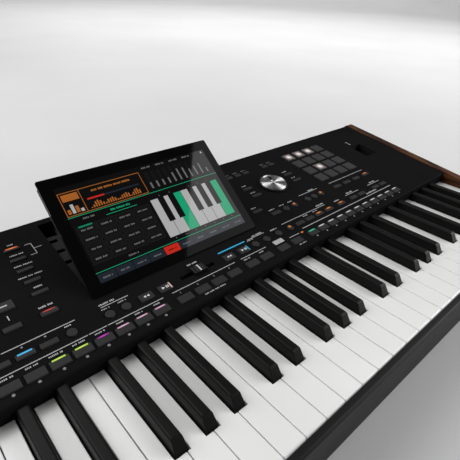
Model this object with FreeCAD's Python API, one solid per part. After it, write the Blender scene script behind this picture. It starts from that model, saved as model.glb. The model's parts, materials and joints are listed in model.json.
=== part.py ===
import FreeCAD, Part
import math
import os

# Arranger keyboard: sixty-one keys, a sloping control panel, a tilting display and wooden end cheeks.
# +X runs along the keys to the right, +Y to the back and +Z up. The origin is under the middle of the body.
# Controls are laid out on the panel plane: u along X, v up the slope from the front edge, w out of the panel.

# Keys
KEY_PITCH = 23.5
OCTAVES = 5
KEY_GAP = 0.7
KEY_TOP_Z = 88.0
KEY_HEIGHT = 18.0
KEY_WALL = 1.8
KEY_SKIN = 2.5
KEY_EDGE_R = 1.2
KEY_UNDER_LIP = 2.5
WHITE_FALL = 10.0
BLACK_SETBACK = 48.0
BLACK_END_GAP = 1.0
BLACK_WIDTH = 11.2
BLACK_TAPER = 1.1
BLACK_SLANT = 5.0
BLACK_RISE = 10.6
BLACK_SKIRT = 12.0
BLACK_EDGE_R = 1.5
BLACK_CLEAR = 1.0
SHANK_WIDTH = 9.0
SHANK_HEIGHT = 5.0
PIVOT_BEHIND_LIP = 70.5
PIVOT_DROP = 8.0
PIVOT_ROD_R = 2.5
PIVOT_BOSS = 6.0
PIVOT_BOSS_TOP = 7.0
SADDLE_WRAP = 0.5
NOTCH_FLANK = 40.0
RUN_CLEAR = 0.1
SEAT_CLEAR = 0.05

# Case
END_GAP = 1.5
BLOCK_WIDTH = 100.4
CHEEK_T = 17.0
CHEEK_PROUD = 1.5
CHEEK_CORNER_R = 6.0
CHEEK_EDGE_R = 1.5
FOOT_H = 6.0
FOOT_R = 12.0
FOOT_INSET = 28.0
SLIP_REACH = 7.9
SLIP_GAP = 1.0
SLIP_BELOW_KEYS = 1.5
SLIP_EDGE = 2.0
SLIP_LEAN = 7.0
SLIP_END_Z = 34.0
CASE_T = 2.5
REAR_FLANGE = 6.0
SCREW_R = 1.5
SCREW_HEAD_R = 3.2
SCREW_HEAD_H = 1.6
SCREW_LENGTH = 8.0
SCREW_CLEAR = 0.1
SCREW_PLACE_SHARES = (-0.9, 0.9)

# Top panel
PANEL_TILT = 7.5
PANEL_T = 2.5
KEY_SHOWN = 144.0
LIP_RISE = 15.0
LIP_GAP = 1.5
CONTROL_ZONE = 61.0
PANEL_REAR_MARGIN = 8.0
BEND_R = 3.0
SHOULDER_REACH = 8.2
SHOULDER_FALL = 10.0
REAR_BEND_DROP = 6.0
REAR_SETBACK = 5.0

# Display
DISPLAY_W = 204.9
DISPLAY_H = 125.4
DISPLAY_T = 12.5
DISPLAY_OPEN = 30.5
DISPLAY_SET = 2.2
DISPLAY_PROUD = 5.3
GLASS_T = 1.6
COVER_INSET = 2.0
COVER_WALL = 2.0
LCD_T = 4.5
LCD_MARGIN = 9.0
HINGE_IN = 4.5
HINGE_DROP = 10.0
HINGE_PIN_R = 1.5
HINGE_PIN_GRIP = 8.0
DISPLAY_CORNER_R = 2.0
WELL_SIDE_GAP = 0.6
WELL_FRONT_GAP = 1.8
WELL_BACK_GAP = 1.0
WELL_DEPTH = 9.2
WELL_WALL = 2.0
NOTCH_SIZE = (13.0, 14.0)
NOTCH_IN = 2.5
SLOT_SIZE = (9.0, 5.0)
SLOT_SHARES = (0.53, 0.685, 0.83)

# Buttons
BUTTON_RISE = 1.5
BUTTON_CHAMFER = 0.5
BUTTON_CLEAR = 0.5
BUTTON_DROP = 2.2
WIDE_SIZE = (16.0, 8.7)
SQUARE_SIZE = (14.2, 9.0)
PLAIN_SIZE = (15.0, 5.6)
SLIM_SIZE = (15.0, 4.4)
SHORT_SIZE = (10.0, 5.4)
ENTRY_SIZE = (22.0, 11.0)
PAD_SIZE = (18.0, 17.0)
PAD_RISE = 1.3
ROUND_R = 4.5

# Rows of buttons: shares of the half width along u, of the control zone or the display height along v
FRONT_ROW_SHARE = 0.23
SECOND_ROW_SHARE = 0.582
FADER_ROW_SHARE = 0.615
THIRD_ROW_SHARE = 0.044
SIDE_ROW_SHARE = 0.164
LOW_SLIM_SHARE = 0.382
HIGH_SLIM_SHARE = 0.524
TOP_ROW_SHARE = 0.788
ENTRY_PLACE_SHARES = (-0.3572, 0.25)
STYLE_LAST_SHARE = -0.124
STYLE_PITCH = 18.6
STYLE_COUNT = 14
SECOND_LAST_SHARE = -0.319
SECOND_PITCH = 18.5
SECOND_COUNT = 8
KEYSET_FIRST_SHARE = -0.0681
KEYSET_PITCH = 20.5
KEYSET_COUNT = 4
UPPER_U_SHARES = (0.1161, 0.1612, 0.2188, 0.2679)
TONE_FIRST_SHARE = 0.3304
TONE_PITCH = 18.95
TONE_COUNT = 11
FUNCTION_U_SHARES = (0.3304, 0.3691, 0.4098, 0.4524, 0.509, 0.5695, 0.6107, 0.6861, 0.7263)
SQUARE_U_SHARES = (-0.13, -0.0863, 0.0853, 0.1305)
ROUND_SECOND_U_SHARES = (-0.2798, -0.2074, -0.1736, 0.1692, 0.2064, 0.249, 0.2917)
ROUND_THIRD_U_SHARES = (0.3483, 0.3825, 0.4392, 0.4673, 0.4981)
PAGE_U_SHARES = (-0.3552, -0.2912, 0.3086, 0.5775, 0.6261, 0.6747, 0.7258)
TOP_U_SHARES = (0.3155, 0.3483, 0.381, 0.4614, 0.4911)
SIDE_GAP = 25.6
COLUMN_GAP = 33.0
COLUMN_FIRST_SHARE = 0.2552
COLUMN_PITCH = 17.25
COLUMN_COUNT = 5
BANK_FIRST_SHARE = -0.4961
BANK_PITCH = 25.0
BANK_COLUMNS = 2
PAD_FIRST_SHARES = (0.5775, 0.276)
PAD_PITCH_U = 23.1
PAD_PITCH_V = 22.0
PAD_ROWS = 4

# Dial, knob, crossfader and sliders
DIAL_PLACE_SHARES = (0.4083, 0.453)
DIAL_SIDE = 40.4
DIAL_R = 18.1
DIAL_SKIRT_R = 20.3
DIAL_FLOAT = 0.5
DIAL_SKIRT_T = 1.7
DIAL_CAP_T = 2.6
DIAL_RIM = 1.4
DIAL_DISH = 0.6
DIMPLE_R = 5.8
DIMPLE_DEPTH = 0.9
DIMPLE_OUT = 10.0
DIMPLE_TURN = 90.0
SHAFT_R = 3.0
SHAFT_HOLE_R = 4.0
KNOB_PLACE_SHARES = (-0.9029, 0.65)
KNOB_R = 9.5
KNOB_TOP_R = 8.2
KNOB_H = 14.0
KNOB_GROOVE = 1.2
FADER_TRAVEL = 36.0
FADER_SET = 1.0
FADER_SLOT_W = 4.5
FADER_CAP = (16.0, 9.8, 3.2)
FADER_CAP_SLOPE = 0.8
FADER_CAP_FLOAT = 1.0
FADER_GROOVE = 0.7
FADER_RIBS = (2.0, 4.2)
FADER_STEM = (5.0, 1.5)
FADER_UNIT_W = 10.0
FADER_UNIT_END = 6.0
SLIDER_FIRST_SHARES = (-0.893, 0.42)
SLIDER_PITCH = 20.0
SLIDER_COUNT = 8
SLIDER_TRAVEL = 45.0
SLIDER_CAP_W = 10.0
BOARD_DROP = 10.4
BOARD_T = 1.6
BOARD_FRONT_V = 8.0
BOARD_SIDE_GAP = 12.0
BOARD_CLEAR = 1.2
UNIT_CLEAR = 0.5
POST_R = 3.0
POST_V_SHARE = 0.94
POST_END_SHARES = (-0.96, 0.78)

# USB pocket
POCKET_PLACE_SHARES = (0.8791, 0.46)
POCKET_SIZE = (27.0, 35.0)
POCKET_DEPTH = 14.0
POCKET_WALL = 1.5
USB_A_SIZE = (13.4, 6.4)
USB_A_LENGTH = 13.0
USB_A_WALL = 0.6
USB_A_TONGUE = 2.0
USB_A_DROP = 3.0
USB_A_MOUTH = 9.0

# Joystick
JOY_BLOCK_DROP = 3.0
JOY_BLOCK_H = 20.0
JOY_BLOCK_WALL = 2.5
JOY_PIVOT_DROP = 10.0
JOY_DOME_R = 17.0
JOY_DOME_REACH = 60.0
JOY_HOLE_CLEAR = 0.6
JOY_STICK_R = 4.0
JOY_STICK_H = 40.0
JOY_BALL_R = 9.0
JOY_RING_R = 11.5
JOY_RING_WALL = 2.5
JOY_RING_H = 6.0
JOY_PIN_R = 1.5
JOY_PIN_END = 21.0
JOY_POST_T = 4.0
JOY_POST_W = 7.0
JOY_POST_START = 18.0

# Key bed and boards
FRAME_T = 1.5
FALL_CLEAR = 0.5
FRAME_FRONT_IN = 4.0
FRAME_LEG_IN = 20.5
FRAME_FOOT = 12.0
RAIL_WRAP = 1.3
FELT_IN = 4.5
FELT_WIDTH = 10.0
FELT_T = 1.5
CONTACT_IN = 120.0
CONTACT_WIDTH = 44.0
CONTACT_RIDGE = 10.0
CONTACT_CLEAR = 1.0
CONTACT_TRAVEL = 3.2
MAIN_BOARD_SIZE = (300.0, 80.0)
MAIN_BOARD_U_SHARE = 0.25
MAIN_POST_H = 6.0
CHIP_SIZE = (28.0, 28.0, 3.0)
CHIP_STEP = 70.0
CHIP_COUNT = 3
SUPPLY_SIZE = (120.0, 70.0, 38.0)
SUPPLY_U_SHARE = -0.75
BOARD_REAR_GAP = 12.0

# Rear sockets
JACK_U_SHARES = (0.14, 0.21, 0.34, 0.41)
JACK_Z = 62.0
JACK_BORE_R = 3.25
JACK_BUSH_R = 4.6
JACK_NUT = 6.5
JACK_NUT_T = 2.2
JACK_BODY = (16.0, 24.0, 16.0)
JACK_DEPTH = 22.0
MIDI_U_SHARES = (-0.18, -0.1)
MIDI_RIM_R = 9.5
MIDI_BODY_R = 8.6
MIDI_BORE_R = 7.2
MIDI_DEPTH = 8.0
MIDI_LENGTH = 16.0
RIM_T = 1.6
USB_B_U_SHARE = -0.3
USB_B_SIZE = (12.0, 11.0)
USB_B_MOUTH = (8.4, 7.8)
USB_B_LENGTH = 15.0
USB_B_DEPTH = 9.0
INLET_U_SHARE = -0.78
INLET_SIZE = (27.0, 20.0)
INLET_RIM = 3.0
INLET_MOUTH = (22.0, 15.5)
INLET_LENGTH = 24.0
INLET_DEPTH = 16.0
INLET_PIN = (2.0, 11.0, 4.0)
INLET_PIN_STEP = 7.0
SWITCH_U_SHARE = -0.66
SWITCH_SIZE = (16.0, 22.0)
SWITCH_WALL = 2.0
SWITCH_LENGTH = 16.0
ROCKER_GAP = 0.5
ROCKER_HALF = 8.0
ROCKER_PROUD = 1.0
ROCKER_DEPTH = 9.0
ROCKER_TILT_RISE = 1.4
ROCKER_PIN_R = 1.2
ROCKER_TILT = 6.0

# Shared working values
OVER = 2.0
TINY = 1e-4

# Sizes worked out from the driving ones
WHITES = OCTAVES * 7 + 1
KEYS_WIDTH = WHITES * KEY_PITCH
BODY_W = BLOCK_WIDTH + KEYS_WIDTH + 2 * END_GAP
HALF_BODY = BODY_W / 2
KEYS_RIGHT_X = HALF_BODY - END_GAP
KEYS_LEFT_X = KEYS_RIGHT_X - KEYS_WIDTH
TILT = math.radians(PANEL_TILT)
DISPLAY_V = CONTROL_ZONE + DISPLAY_SET
PANEL_LENGTH = DISPLAY_V + DISPLAY_H + PANEL_REAR_MARGIN
PANEL_RUN = PANEL_LENGTH * math.cos(TILT)
DEPTH = SLIP_REACH + KEY_SHOWN + PANEL_RUN + SHOULDER_REACH + REAR_SETBACK
FRONT_Y = -DEPTH / 2
REAR_Y = DEPTH / 2
KEY_FRONT_Y = FRONT_Y + SLIP_REACH
PANEL_Y = KEY_FRONT_Y + KEY_SHOWN
PANEL_Z = KEY_TOP_Z + LIP_RISE
PANEL_END_Y = PANEL_Y + PANEL_RUN
PANEL_END_Z = PANEL_Z + PANEL_LENGTH * math.sin(TILT)
REAR_FACE_Y = REAR_Y - REAR_SETBACK
SHOULDER_Z = PANEL_END_Z - SHOULDER_FALL
REAR_SPLIT_Z = SHOULDER_Z - REAR_BEND_DROP
FLOOR_Z = FOOT_H + CASE_T
SLIP_TOP_Z = KEY_TOP_Z - SLIP_BELOW_KEYS
LEAN = math.radians(SLIP_LEAN)
PIVOT_Y = PANEL_Y + PIVOT_BEHIND_LIP
PIVOT_Z = KEY_TOP_Z - PIVOT_DROP
KEY_LENGTH = KEY_SHOWN + KEY_UNDER_LIP
FRAME_PLATE_Z = KEY_TOP_Z - KEY_HEIGHT - WHITE_FALL - FELT_T - FALL_CLEAR
FRONT_ROW_V = CONTROL_ZONE * FRONT_ROW_SHARE
SECOND_ROW_V = CONTROL_ZONE * SECOND_ROW_SHARE
FADER_ROW_V = CONTROL_ZONE * FADER_ROW_SHARE
HINGE_PLACE = (DISPLAY_V + HINGE_IN, DISPLAY_PROUD - HINGE_DROP)
COVER_HALF = DISPLAY_W / 2 - COVER_INSET
WELL_HALF = COVER_HALF + WELL_SIDE_GAP
BOARD_TOP_W = -BOARD_DROP
NOTE_NAMES = ("c", "c_sharp", "d", "d_sharp", "e", "f", "f_sharp", "g", "g_sharp", "a", "a_sharp", "b")
BLACK_NOTES = [note for note, name in enumerate(NOTE_NAMES) if "sharp" in name]
WHITE_NOTES = [note for note, name in enumerate(NOTE_NAMES) if "sharp" not in name]
PLAYED_OCTAVE = 3

V = FreeCAD.Vector
ALONG_X = V(1, 0, 0)
ALONG_Y = V(0, 1, 0)
ALONG_Z = V(0, 0, 1)
PANEL_PLACE = FreeCAD.Placement(V(0, PANEL_Y, PANEL_Z), FreeCAD.Rotation(ALONG_X, PANEL_TILT))


# Basic forms
def block(x, y, z):
    """A box from three pairs of limits."""
    return Part.makeBox(x[1] - x[0], y[1] - y[0], z[1] - z[0], V(x[0], y[0], z[0]))


def centred(place, size, w):
    """A box centred on a place in the plane, between two heights."""
    u, v = place
    du, dv = size[0] / 2, size[1] / 2
    return block((u - du, u + du), (v - dv, v + dv), w)


def prism_x(points, x0, x1):
    """An outline in Y and Z, drawn out along X."""
    corners = [V(x0, y, z) for y, z in points]
    return Part.Face(Part.makePolygon(corners + corners[:1])).extrude(V(x1 - x0, 0, 0))


def prism_z(points, z0, z1):
    """An outline in X and Y, drawn out along Z."""
    corners = [V(x, y, z0) for x, y in points]
    return Part.Face(Part.makePolygon(corners + corners[:1])).extrude(V(0, 0, z1 - z0))


def prism_y(points, y0, y1):
    """An outline in X and Z, drawn out along Y."""
    corners = [V(x, y0, z) for x, z in points]
    return Part.Face(Part.makePolygon(corners + corners[:1])).extrude(V(0, y1 - y0, 0))


def hexagon(x, z, radius):
    turns = [math.radians(60 * i) for i in range(6)]
    return [(x + radius * math.cos(turn), z + radius * math.sin(turn)) for turn in turns]


def standoff(place, z0, z1):
    return prism_z(hexagon(*place, POST_R), z0, z1)


def turned(points):
    """A profile of radius and height, turned about Z."""
    corners = [V(r, 0, z) for r, z in points]
    return Part.Face(Part.makePolygon(corners + corners[:1])).revolve(V(), ALONG_Z, 360)


def round_x(radius, x0, x1, y, z):
    return Part.makeCylinder(radius, x1 - x0, V(x0, y, z), ALONG_X)


def round_y(radius, x, y0, y1, z):
    return Part.makeCylinder(radius, y1 - y0, V(x, y0, z), ALONG_Y)


def round_z(radius, place, z0, z1):
    return Part.makeCylinder(radius, z1 - z0, V(place[0], place[1], z0), ALONG_Z)


def sheet_outline(points, thickness):
    """The closed outline of bent sheet: a line of bends, and the same line set off to its left."""
    normals = []
    for (y0, z0), (y1, z1) in zip(points, points[1:]):
        run = math.hypot(y1 - y0, z1 - z0)
        normals.append(((z0 - z1) / run, (y1 - y0) / run))
    inner = []
    for i, (y, z) in enumerate(points):
        before = normals[max(i - 1, 0)]
        after = normals[min(i, len(normals) - 1)]
        scale = thickness / (1 + before[0] * after[0] + before[1] * after[1])
        inner.append((y + scale * (before[0] + after[0]), z + scale * (before[1] + after[1])))
    return points + inner[::-1]


def edges_at(shape, test):
    """The edges whose end points all pass a test."""
    return [edge for edge in shape.Edges if all(test(vertex.Point) for vertex in edge.Vertexes)]


def moved(shape, *shift):
    copy = shape.copy()
    copy.translate(V(*shift))
    return copy


def on_panel(shape):
    """Carry a shape from panel coordinates to the body."""
    placed = shape.copy()
    placed.Placement = PANEL_PLACE.multiply(placed.Placement)
    return placed


def group(shapes):
    return Part.makeCompound(shapes)


def row(first, pitch, count):
    return [first + pitch * i for i in range(count)]


# Layout of the controls
def at_zone(share):
    return CONTROL_ZONE + share * DISPLAY_H


def places(u_shares, v):
    return [(share * HALF_BODY, v) for share in u_shares]


def style_places():
    first = STYLE_LAST_SHARE * HALF_BODY - STYLE_PITCH * (STYLE_COUNT - 1)
    return [(u, FRONT_ROW_V) for u in row(first, STYLE_PITCH, STYLE_COUNT)]


def second_places():
    first = SECOND_LAST_SHARE * HALF_BODY - SECOND_PITCH * (SECOND_COUNT - 1)
    return [(u, SECOND_ROW_V) for u in row(first, SECOND_PITCH, SECOND_COUNT)]


def keyset_places():
    us = row(KEYSET_FIRST_SHARE * HALF_BODY, KEYSET_PITCH, KEYSET_COUNT)
    return [(u, FRONT_ROW_V) for u in us] + places(UPPER_U_SHARES, FRONT_ROW_V)


def tone_places():
    return [(u, FRONT_ROW_V) for u in row(TONE_FIRST_SHARE * HALF_BODY, TONE_PITCH, TONE_COUNT)]


def column_places():
    vs = row(at_zone(COLUMN_FIRST_SHARE), COLUMN_PITCH, COLUMN_COUNT)
    return [(-DISPLAY_W / 2 - COLUMN_GAP, v) for v in vs]


def bank_places():
    us = row(BANK_FIRST_SHARE * HALF_BODY, BANK_PITCH, BANK_COLUMNS)
    return [(u, v) for u in us for _, v in column_places()]


def dial_place():
    return DIAL_PLACE_SHARES[0] * HALF_BODY, at_zone(DIAL_PLACE_SHARES[1])


def knob_place():
    return KNOB_PLACE_SHARES[0] * HALF_BODY, KNOB_PLACE_SHARES[1] * CONTROL_ZONE


def slim_places():
    u = dial_place()[0]
    beside = [(u + side * DIAL_SIDE, at_zone(share)) for side in (-1, 1)
              for share in (LOW_SLIM_SHARE, HIGH_SLIM_SHARE)]
    side = (DISPLAY_W / 2 + SIDE_GAP, at_zone(SIDE_ROW_SHARE))
    return beside + [side] + column_places() + bank_places()


def pad_places():
    us = row(PAD_FIRST_SHARES[0] * HALF_BODY, PAD_PITCH_U, PAD_ROWS)
    vs = row(at_zone(PAD_FIRST_SHARES[1]), PAD_PITCH_V, PAD_ROWS)
    return [(u, v) for v in vs for u in us]


def slider_places():
    us = row(SLIDER_FIRST_SHARES[0] * HALF_BODY, SLIDER_PITCH, SLIDER_COUNT)
    return [(u, at_zone(SLIDER_FIRST_SHARES[1])) for u in us]


def entry_place():
    return ENTRY_PLACE_SHARES[0] * HALF_BODY, at_zone(ENTRY_PLACE_SHARES[1])


def pocket_place():
    return POCKET_PLACE_SHARES[0] * HALF_BODY, at_zone(POCKET_PLACE_SHARES[1])


def button_fields():
    """Every rectangular button: its size and its places."""
    return {
        "style_buttons": [(WIDE_SIZE, style_places())],
        "keyset_buttons": [(WIDE_SIZE, keyset_places())],
        "tone_buttons": [(WIDE_SIZE, tone_places())],
        "transport_buttons": [(SQUARE_SIZE, places(SQUARE_U_SHARES, SECOND_ROW_V))],
        "function_buttons": [(PLAIN_SIZE, places(FUNCTION_U_SHARES, SECOND_ROW_V) + second_places())],
        "page_buttons": [(PLAIN_SIZE, places(PAGE_U_SHARES, at_zone(THIRD_ROW_SHARE))),
                         (ENTRY_SIZE, [entry_place()])],
        "menu_buttons": [(SLIM_SIZE, slim_places()),
                         (SHORT_SIZE, places(TOP_U_SHARES, at_zone(TOP_ROW_SHARE)))],
        "trigger_pads": [(PAD_SIZE, pad_places())],
    }


def round_places():
    second = places(ROUND_SECOND_U_SHARES, SECOND_ROW_V)
    return second + places(ROUND_THIRD_U_SHARES, at_zone(THIRD_ROW_SHARE))


# Case
def slip_face_y(z):
    """The front face of the slip and case, which leans back below its top edge."""
    return FRONT_Y + (SLIP_TOP_Z - SLIP_EDGE - z) * math.tan(LEAN)


def slip_end():
    """The outer and inner point where the slip meets the case."""
    y = slip_face_y(SLIP_END_Z)
    return (y, SLIP_END_Z), (y + CASE_T * math.cos(LEAN), SLIP_END_Z + CASE_T * math.sin(LEAN))


def front_slip():
    outer, inner = slip_end()
    back_y = KEY_FRONT_Y - SLIP_GAP
    knee_z = inner[1] + (inner[0] - back_y) / math.tan(LEAN)
    points = [outer, (FRONT_Y, SLIP_TOP_Z - SLIP_EDGE), (FRONT_Y + SLIP_EDGE, SLIP_TOP_Z),
              (back_y, SLIP_TOP_Z), (back_y, knee_z), inner]
    return prism_x(points, -HALF_BODY, HALF_BODY)


def screw_places():
    """Screws through the case floor into the two feet of the key frame."""
    ys = (frame_bends()[0][0] - FRAME_FOOT / 2, frame_bends()[-1][0] + FRAME_FOOT / 2)
    middle = (KEYS_LEFT_X + KEYS_RIGHT_X) / 2
    return [(middle + share * KEYS_WIDTH / 2, y) for share in SCREW_PLACE_SHARES for y in ys]


def bottom_case():
    outer = slip_end()[0]
    bends = [outer, (slip_face_y(FOOT_H), FOOT_H), (REAR_FACE_Y, FOOT_H),
             (REAR_FACE_Y, FOOT_H + REAR_FLANGE)]
    case = prism_x(sheet_outline(bends, CASE_T), -HALF_BODY, HALF_BODY)
    hole_r = SCREW_R + SCREW_CLEAR
    return case.cut([round_z(hole_r, place, FOOT_H - OVER, FLOOR_Z + OVER) for place in screw_places()])


def case_screws():
    screws = []
    for place in screw_places():
        shank = round_z(SCREW_R, place, FOOT_H, FOOT_H + SCREW_LENGTH)
        head = prism_z(hexagon(*place, SCREW_HEAD_R), FOOT_H - SCREW_HEAD_H, FOOT_H)
        screws.append(shank.fuse(head))
    return group(screws)


def rubber_feet():
    front_y = slip_face_y(FOOT_H) + FOOT_INSET
    back_y = REAR_FACE_Y - FOOT_INSET
    us = (FOOT_INSET - HALF_BODY, HALF_BODY - FOOT_INSET)
    return group([round_z(FOOT_R, (u, y), 0, FOOT_H) for u in us for y in (front_y, back_y)])


def cheek(x0, x1, outer_x):
    """A wooden end plank: level beside the slip, up along the panel's slope, then down behind its back edge."""
    front_z = SLIP_TOP_Z + CHEEK_PROUD
    rise_y = PANEL_Y - (PANEL_Z - SLIP_TOP_Z) / math.tan(TILT)
    points = [(slip_face_y(FOOT_H), FOOT_H), (FRONT_Y, SLIP_TOP_Z - SLIP_EDGE), (FRONT_Y + SLIP_EDGE, front_z)]
    points += [(rise_y, front_z), (PANEL_END_Y, PANEL_END_Z + CHEEK_PROUD)]
    points += [(REAR_Y, SHOULDER_Z), (REAR_Y, FOOT_H)]
    plank = prism_x(points, x0, x1)
    crest = edges_at(plank, lambda p: abs(p.y - PANEL_END_Y) < TINY and p.z > PANEL_END_Z)
    back = edges_at(plank, lambda p: abs(p.y - REAR_Y) < TINY and abs(p.z - SHOULDER_Z) < TINY)
    plank = plank.makeFillet(CHEEK_CORNER_R, crest + back)
    rim = edges_at(plank, lambda p: abs(p.x - outer_x) < TINY)
    return plank.makeChamfer(CHEEK_EDGE_R, rim)


def panel_bends():
    return [(PANEL_Y, KEY_TOP_Z + LIP_GAP), (PANEL_Y, PANEL_Z), (PANEL_END_Y, PANEL_END_Z),
            (REAR_FACE_Y, SHOULDER_Z), (REAR_FACE_Y, REAR_SPLIT_Z)]


def panel_cuts():
    """Everything that is cut through the panel, in panel coordinates."""
    through = (-PANEL_T - OVER, OVER)
    grow = 2 * BUTTON_CLEAR
    cuts = []
    for fields in button_fields().values():
        for size, spots in fields:
            cuts += [centred(spot, (size[0] + grow, size[1] + grow), through) for spot in spots]
    cuts += [round_z(ROUND_R + BUTTON_CLEAR, spot, *through) for spot in round_places()]
    cuts += [round_z(SHAFT_HOLE_R, spot, *through) for spot in (dial_place(), knob_place())]
    cuts.append(centred((0, FADER_ROW_V), (FADER_TRAVEL + OVER + FADER_STEM[0], FADER_SLOT_W), through))
    slot = (FADER_SLOT_W, SLIDER_TRAVEL + OVER + FADER_STEM[0])
    cuts += [centred(spot, slot, through) for spot in slider_places()]
    cuts.append(centred(pocket_place(), POCKET_SIZE, through))
    cuts.append(well_space(through))
    return cuts


def top_panel():
    panel = prism_x(sheet_outline(panel_bends(), -PANEL_T), -HALF_BODY, HALF_BODY)
    front = edges_at(panel, lambda p: abs(p.y - PANEL_Y) < TINY and abs(p.z - PANEL_Z) < TINY)
    back = edges_at(panel, lambda p: abs(p.y - PANEL_END_Y) < TINY and abs(p.z - PANEL_END_Z) < TINY)
    panel = panel.makeFillet(BEND_R, front + back)
    return panel.cut([on_panel(cut) for cut in panel_cuts()])


# Rear
def upright(x, size, y):
    """A box on the rear panel, centred at the sockets' height."""
    du, dz = size[0] / 2, size[1] / 2
    return block((x - du, x + du), y, (JACK_Z - dz, JACK_Z + dz))


REAR_IN_Y = REAR_FACE_Y - PANEL_T
INLET_X = INLET_U_SHARE * HALF_BODY
SWITCH_X = SWITCH_U_SHARE * HALF_BODY
USB_B_X = USB_B_U_SHARE * HALF_BODY


def rear_panel():
    plate = block((-HALF_BODY, HALF_BODY), (REAR_IN_Y, REAR_FACE_Y), (FOOT_H + REAR_FLANGE, REAR_SPLIT_Z))
    through = (REAR_IN_Y - OVER, REAR_FACE_Y + OVER)
    holes = []
    for radius, shares in ((JACK_BUSH_R, JACK_U_SHARES), (MIDI_BODY_R, MIDI_U_SHARES)):
        holes += [round_y(radius + SEAT_CLEAR, share * HALF_BODY, *through, JACK_Z) for share in shares]
    grow = 2 * SEAT_CLEAR
    for x, size in ((USB_B_X, USB_B_SIZE), (INLET_X, INLET_SIZE), (SWITCH_X, SWITCH_SIZE)):
        holes.append(upright(x, (size[0] + grow, size[1] + grow), through))
    return plate.cut(holes)


def jack_sockets():
    sockets = []
    nut_y = REAR_FACE_Y + JACK_NUT_T
    for share in JACK_U_SHARES:
        x = share * HALF_BODY
        size = (JACK_BODY[0], JACK_BODY[2])
        body = upright(x, size, (REAR_IN_Y - JACK_BODY[1], REAR_IN_Y))
        bush = round_y(JACK_BUSH_R, x, REAR_IN_Y, nut_y, JACK_Z)
        nut = prism_y(hexagon(x, JACK_Z, JACK_NUT), REAR_FACE_Y, nut_y)
        bore = round_y(JACK_BORE_R, x, nut_y - JACK_DEPTH, nut_y + OVER, JACK_Z)
        sockets.append(body.fuse([bush, nut]).cut(bore))
    return group(sockets)


def midi_sockets():
    sockets = []
    rim_y = REAR_FACE_Y + RIM_T
    for share in MIDI_U_SHARES:
        x = share * HALF_BODY
        body = round_y(MIDI_BODY_R, x, rim_y - MIDI_LENGTH, rim_y, JACK_Z)
        rim = round_y(MIDI_RIM_R, x, REAR_FACE_Y, rim_y, JACK_Z)
        bore = round_y(MIDI_BORE_R, x, rim_y - MIDI_DEPTH, rim_y + OVER, JACK_Z)
        sockets.append(body.fuse(rim).cut(bore))
    return group(sockets)


def power_inlet():
    """The mains inlet with its three pins, and the frame of the power switch beside it."""
    rim_y = REAR_FACE_Y + RIM_T
    rim_size = (INLET_SIZE[0] + 2 * INLET_RIM, INLET_SIZE[1] + 2 * INLET_RIM)
    shell = upright(INLET_X, INLET_SIZE, (rim_y - INLET_LENGTH, rim_y))
    shell = shell.fuse(upright(INLET_X, rim_size, (REAR_FACE_Y, rim_y)))
    shell = shell.cut(upright(INLET_X, INLET_MOUTH, (rim_y - INLET_DEPTH, rim_y + OVER)))
    pins = []
    for step in (-1, 0, 1):
        x = INLET_X + step * INLET_PIN_STEP
        y = rim_y - INLET_DEPTH
        pins.append(upright(x, (INLET_PIN[0], INLET_PIN[2]), (y, y + INLET_PIN[1])))
    shell = shell.fuse(pins)
    rim_size = (SWITCH_SIZE[0] + 2 * SWITCH_WALL, SWITCH_SIZE[1] + 2 * SWITCH_WALL)
    mouth = (SWITCH_SIZE[0] - 2 * SWITCH_WALL, SWITCH_SIZE[1] - 2 * SWITCH_WALL)
    frame = upright(SWITCH_X, SWITCH_SIZE, (rim_y - SWITCH_LENGTH, rim_y))
    frame = frame.fuse(upright(SWITCH_X, rim_size, (REAR_FACE_Y, rim_y)))
    frame = frame.cut(upright(SWITCH_X, mouth, (rim_y - SWITCH_LENGTH + SWITCH_WALL, rim_y + OVER)))
    reach = SWITCH_SIZE[0]
    pivot = round_x(ROCKER_PIN_R + RUN_CLEAR, SWITCH_X - reach, SWITCH_X + reach, *rocker_axis())
    return group([shell, frame.cut(pivot)])


def rocker_axis():
    return REAR_FACE_Y + RIM_T - ROCKER_DEPTH / 2, JACK_Z


def power_switch():
    """A rocker with one face pressed in, on two short trunnions."""
    half = SWITCH_SIZE[0] / 2 - SWITCH_WALL - ROCKER_GAP
    y_out = REAR_FACE_Y + RIM_T + ROCKER_PROUD
    y_in = y_out - ROCKER_DEPTH
    top = (y_out - ROCKER_TILT_RISE, JACK_Z + ROCKER_HALF)
    low = (y_out - ROCKER_TILT_RISE, JACK_Z - ROCKER_HALF)
    waist = ROCKER_HALF / 2
    points = [top, (y_out - 2 * ROCKER_TILT_RISE, JACK_Z), low,
              (y_in, JACK_Z - waist), (y_in, JACK_Z + waist)]
    rocker = prism_x(points, SWITCH_X - half, SWITCH_X + half)
    reach = SWITCH_SIZE[0] / 2
    rocker = rocker.fuse(round_x(ROCKER_PIN_R, SWITCH_X - reach, SWITCH_X + reach, *rocker_axis()))
    rocker.rotate(V(SWITCH_X, *rocker_axis()), ALONG_X, ROCKER_TILT)
    return rocker


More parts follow.
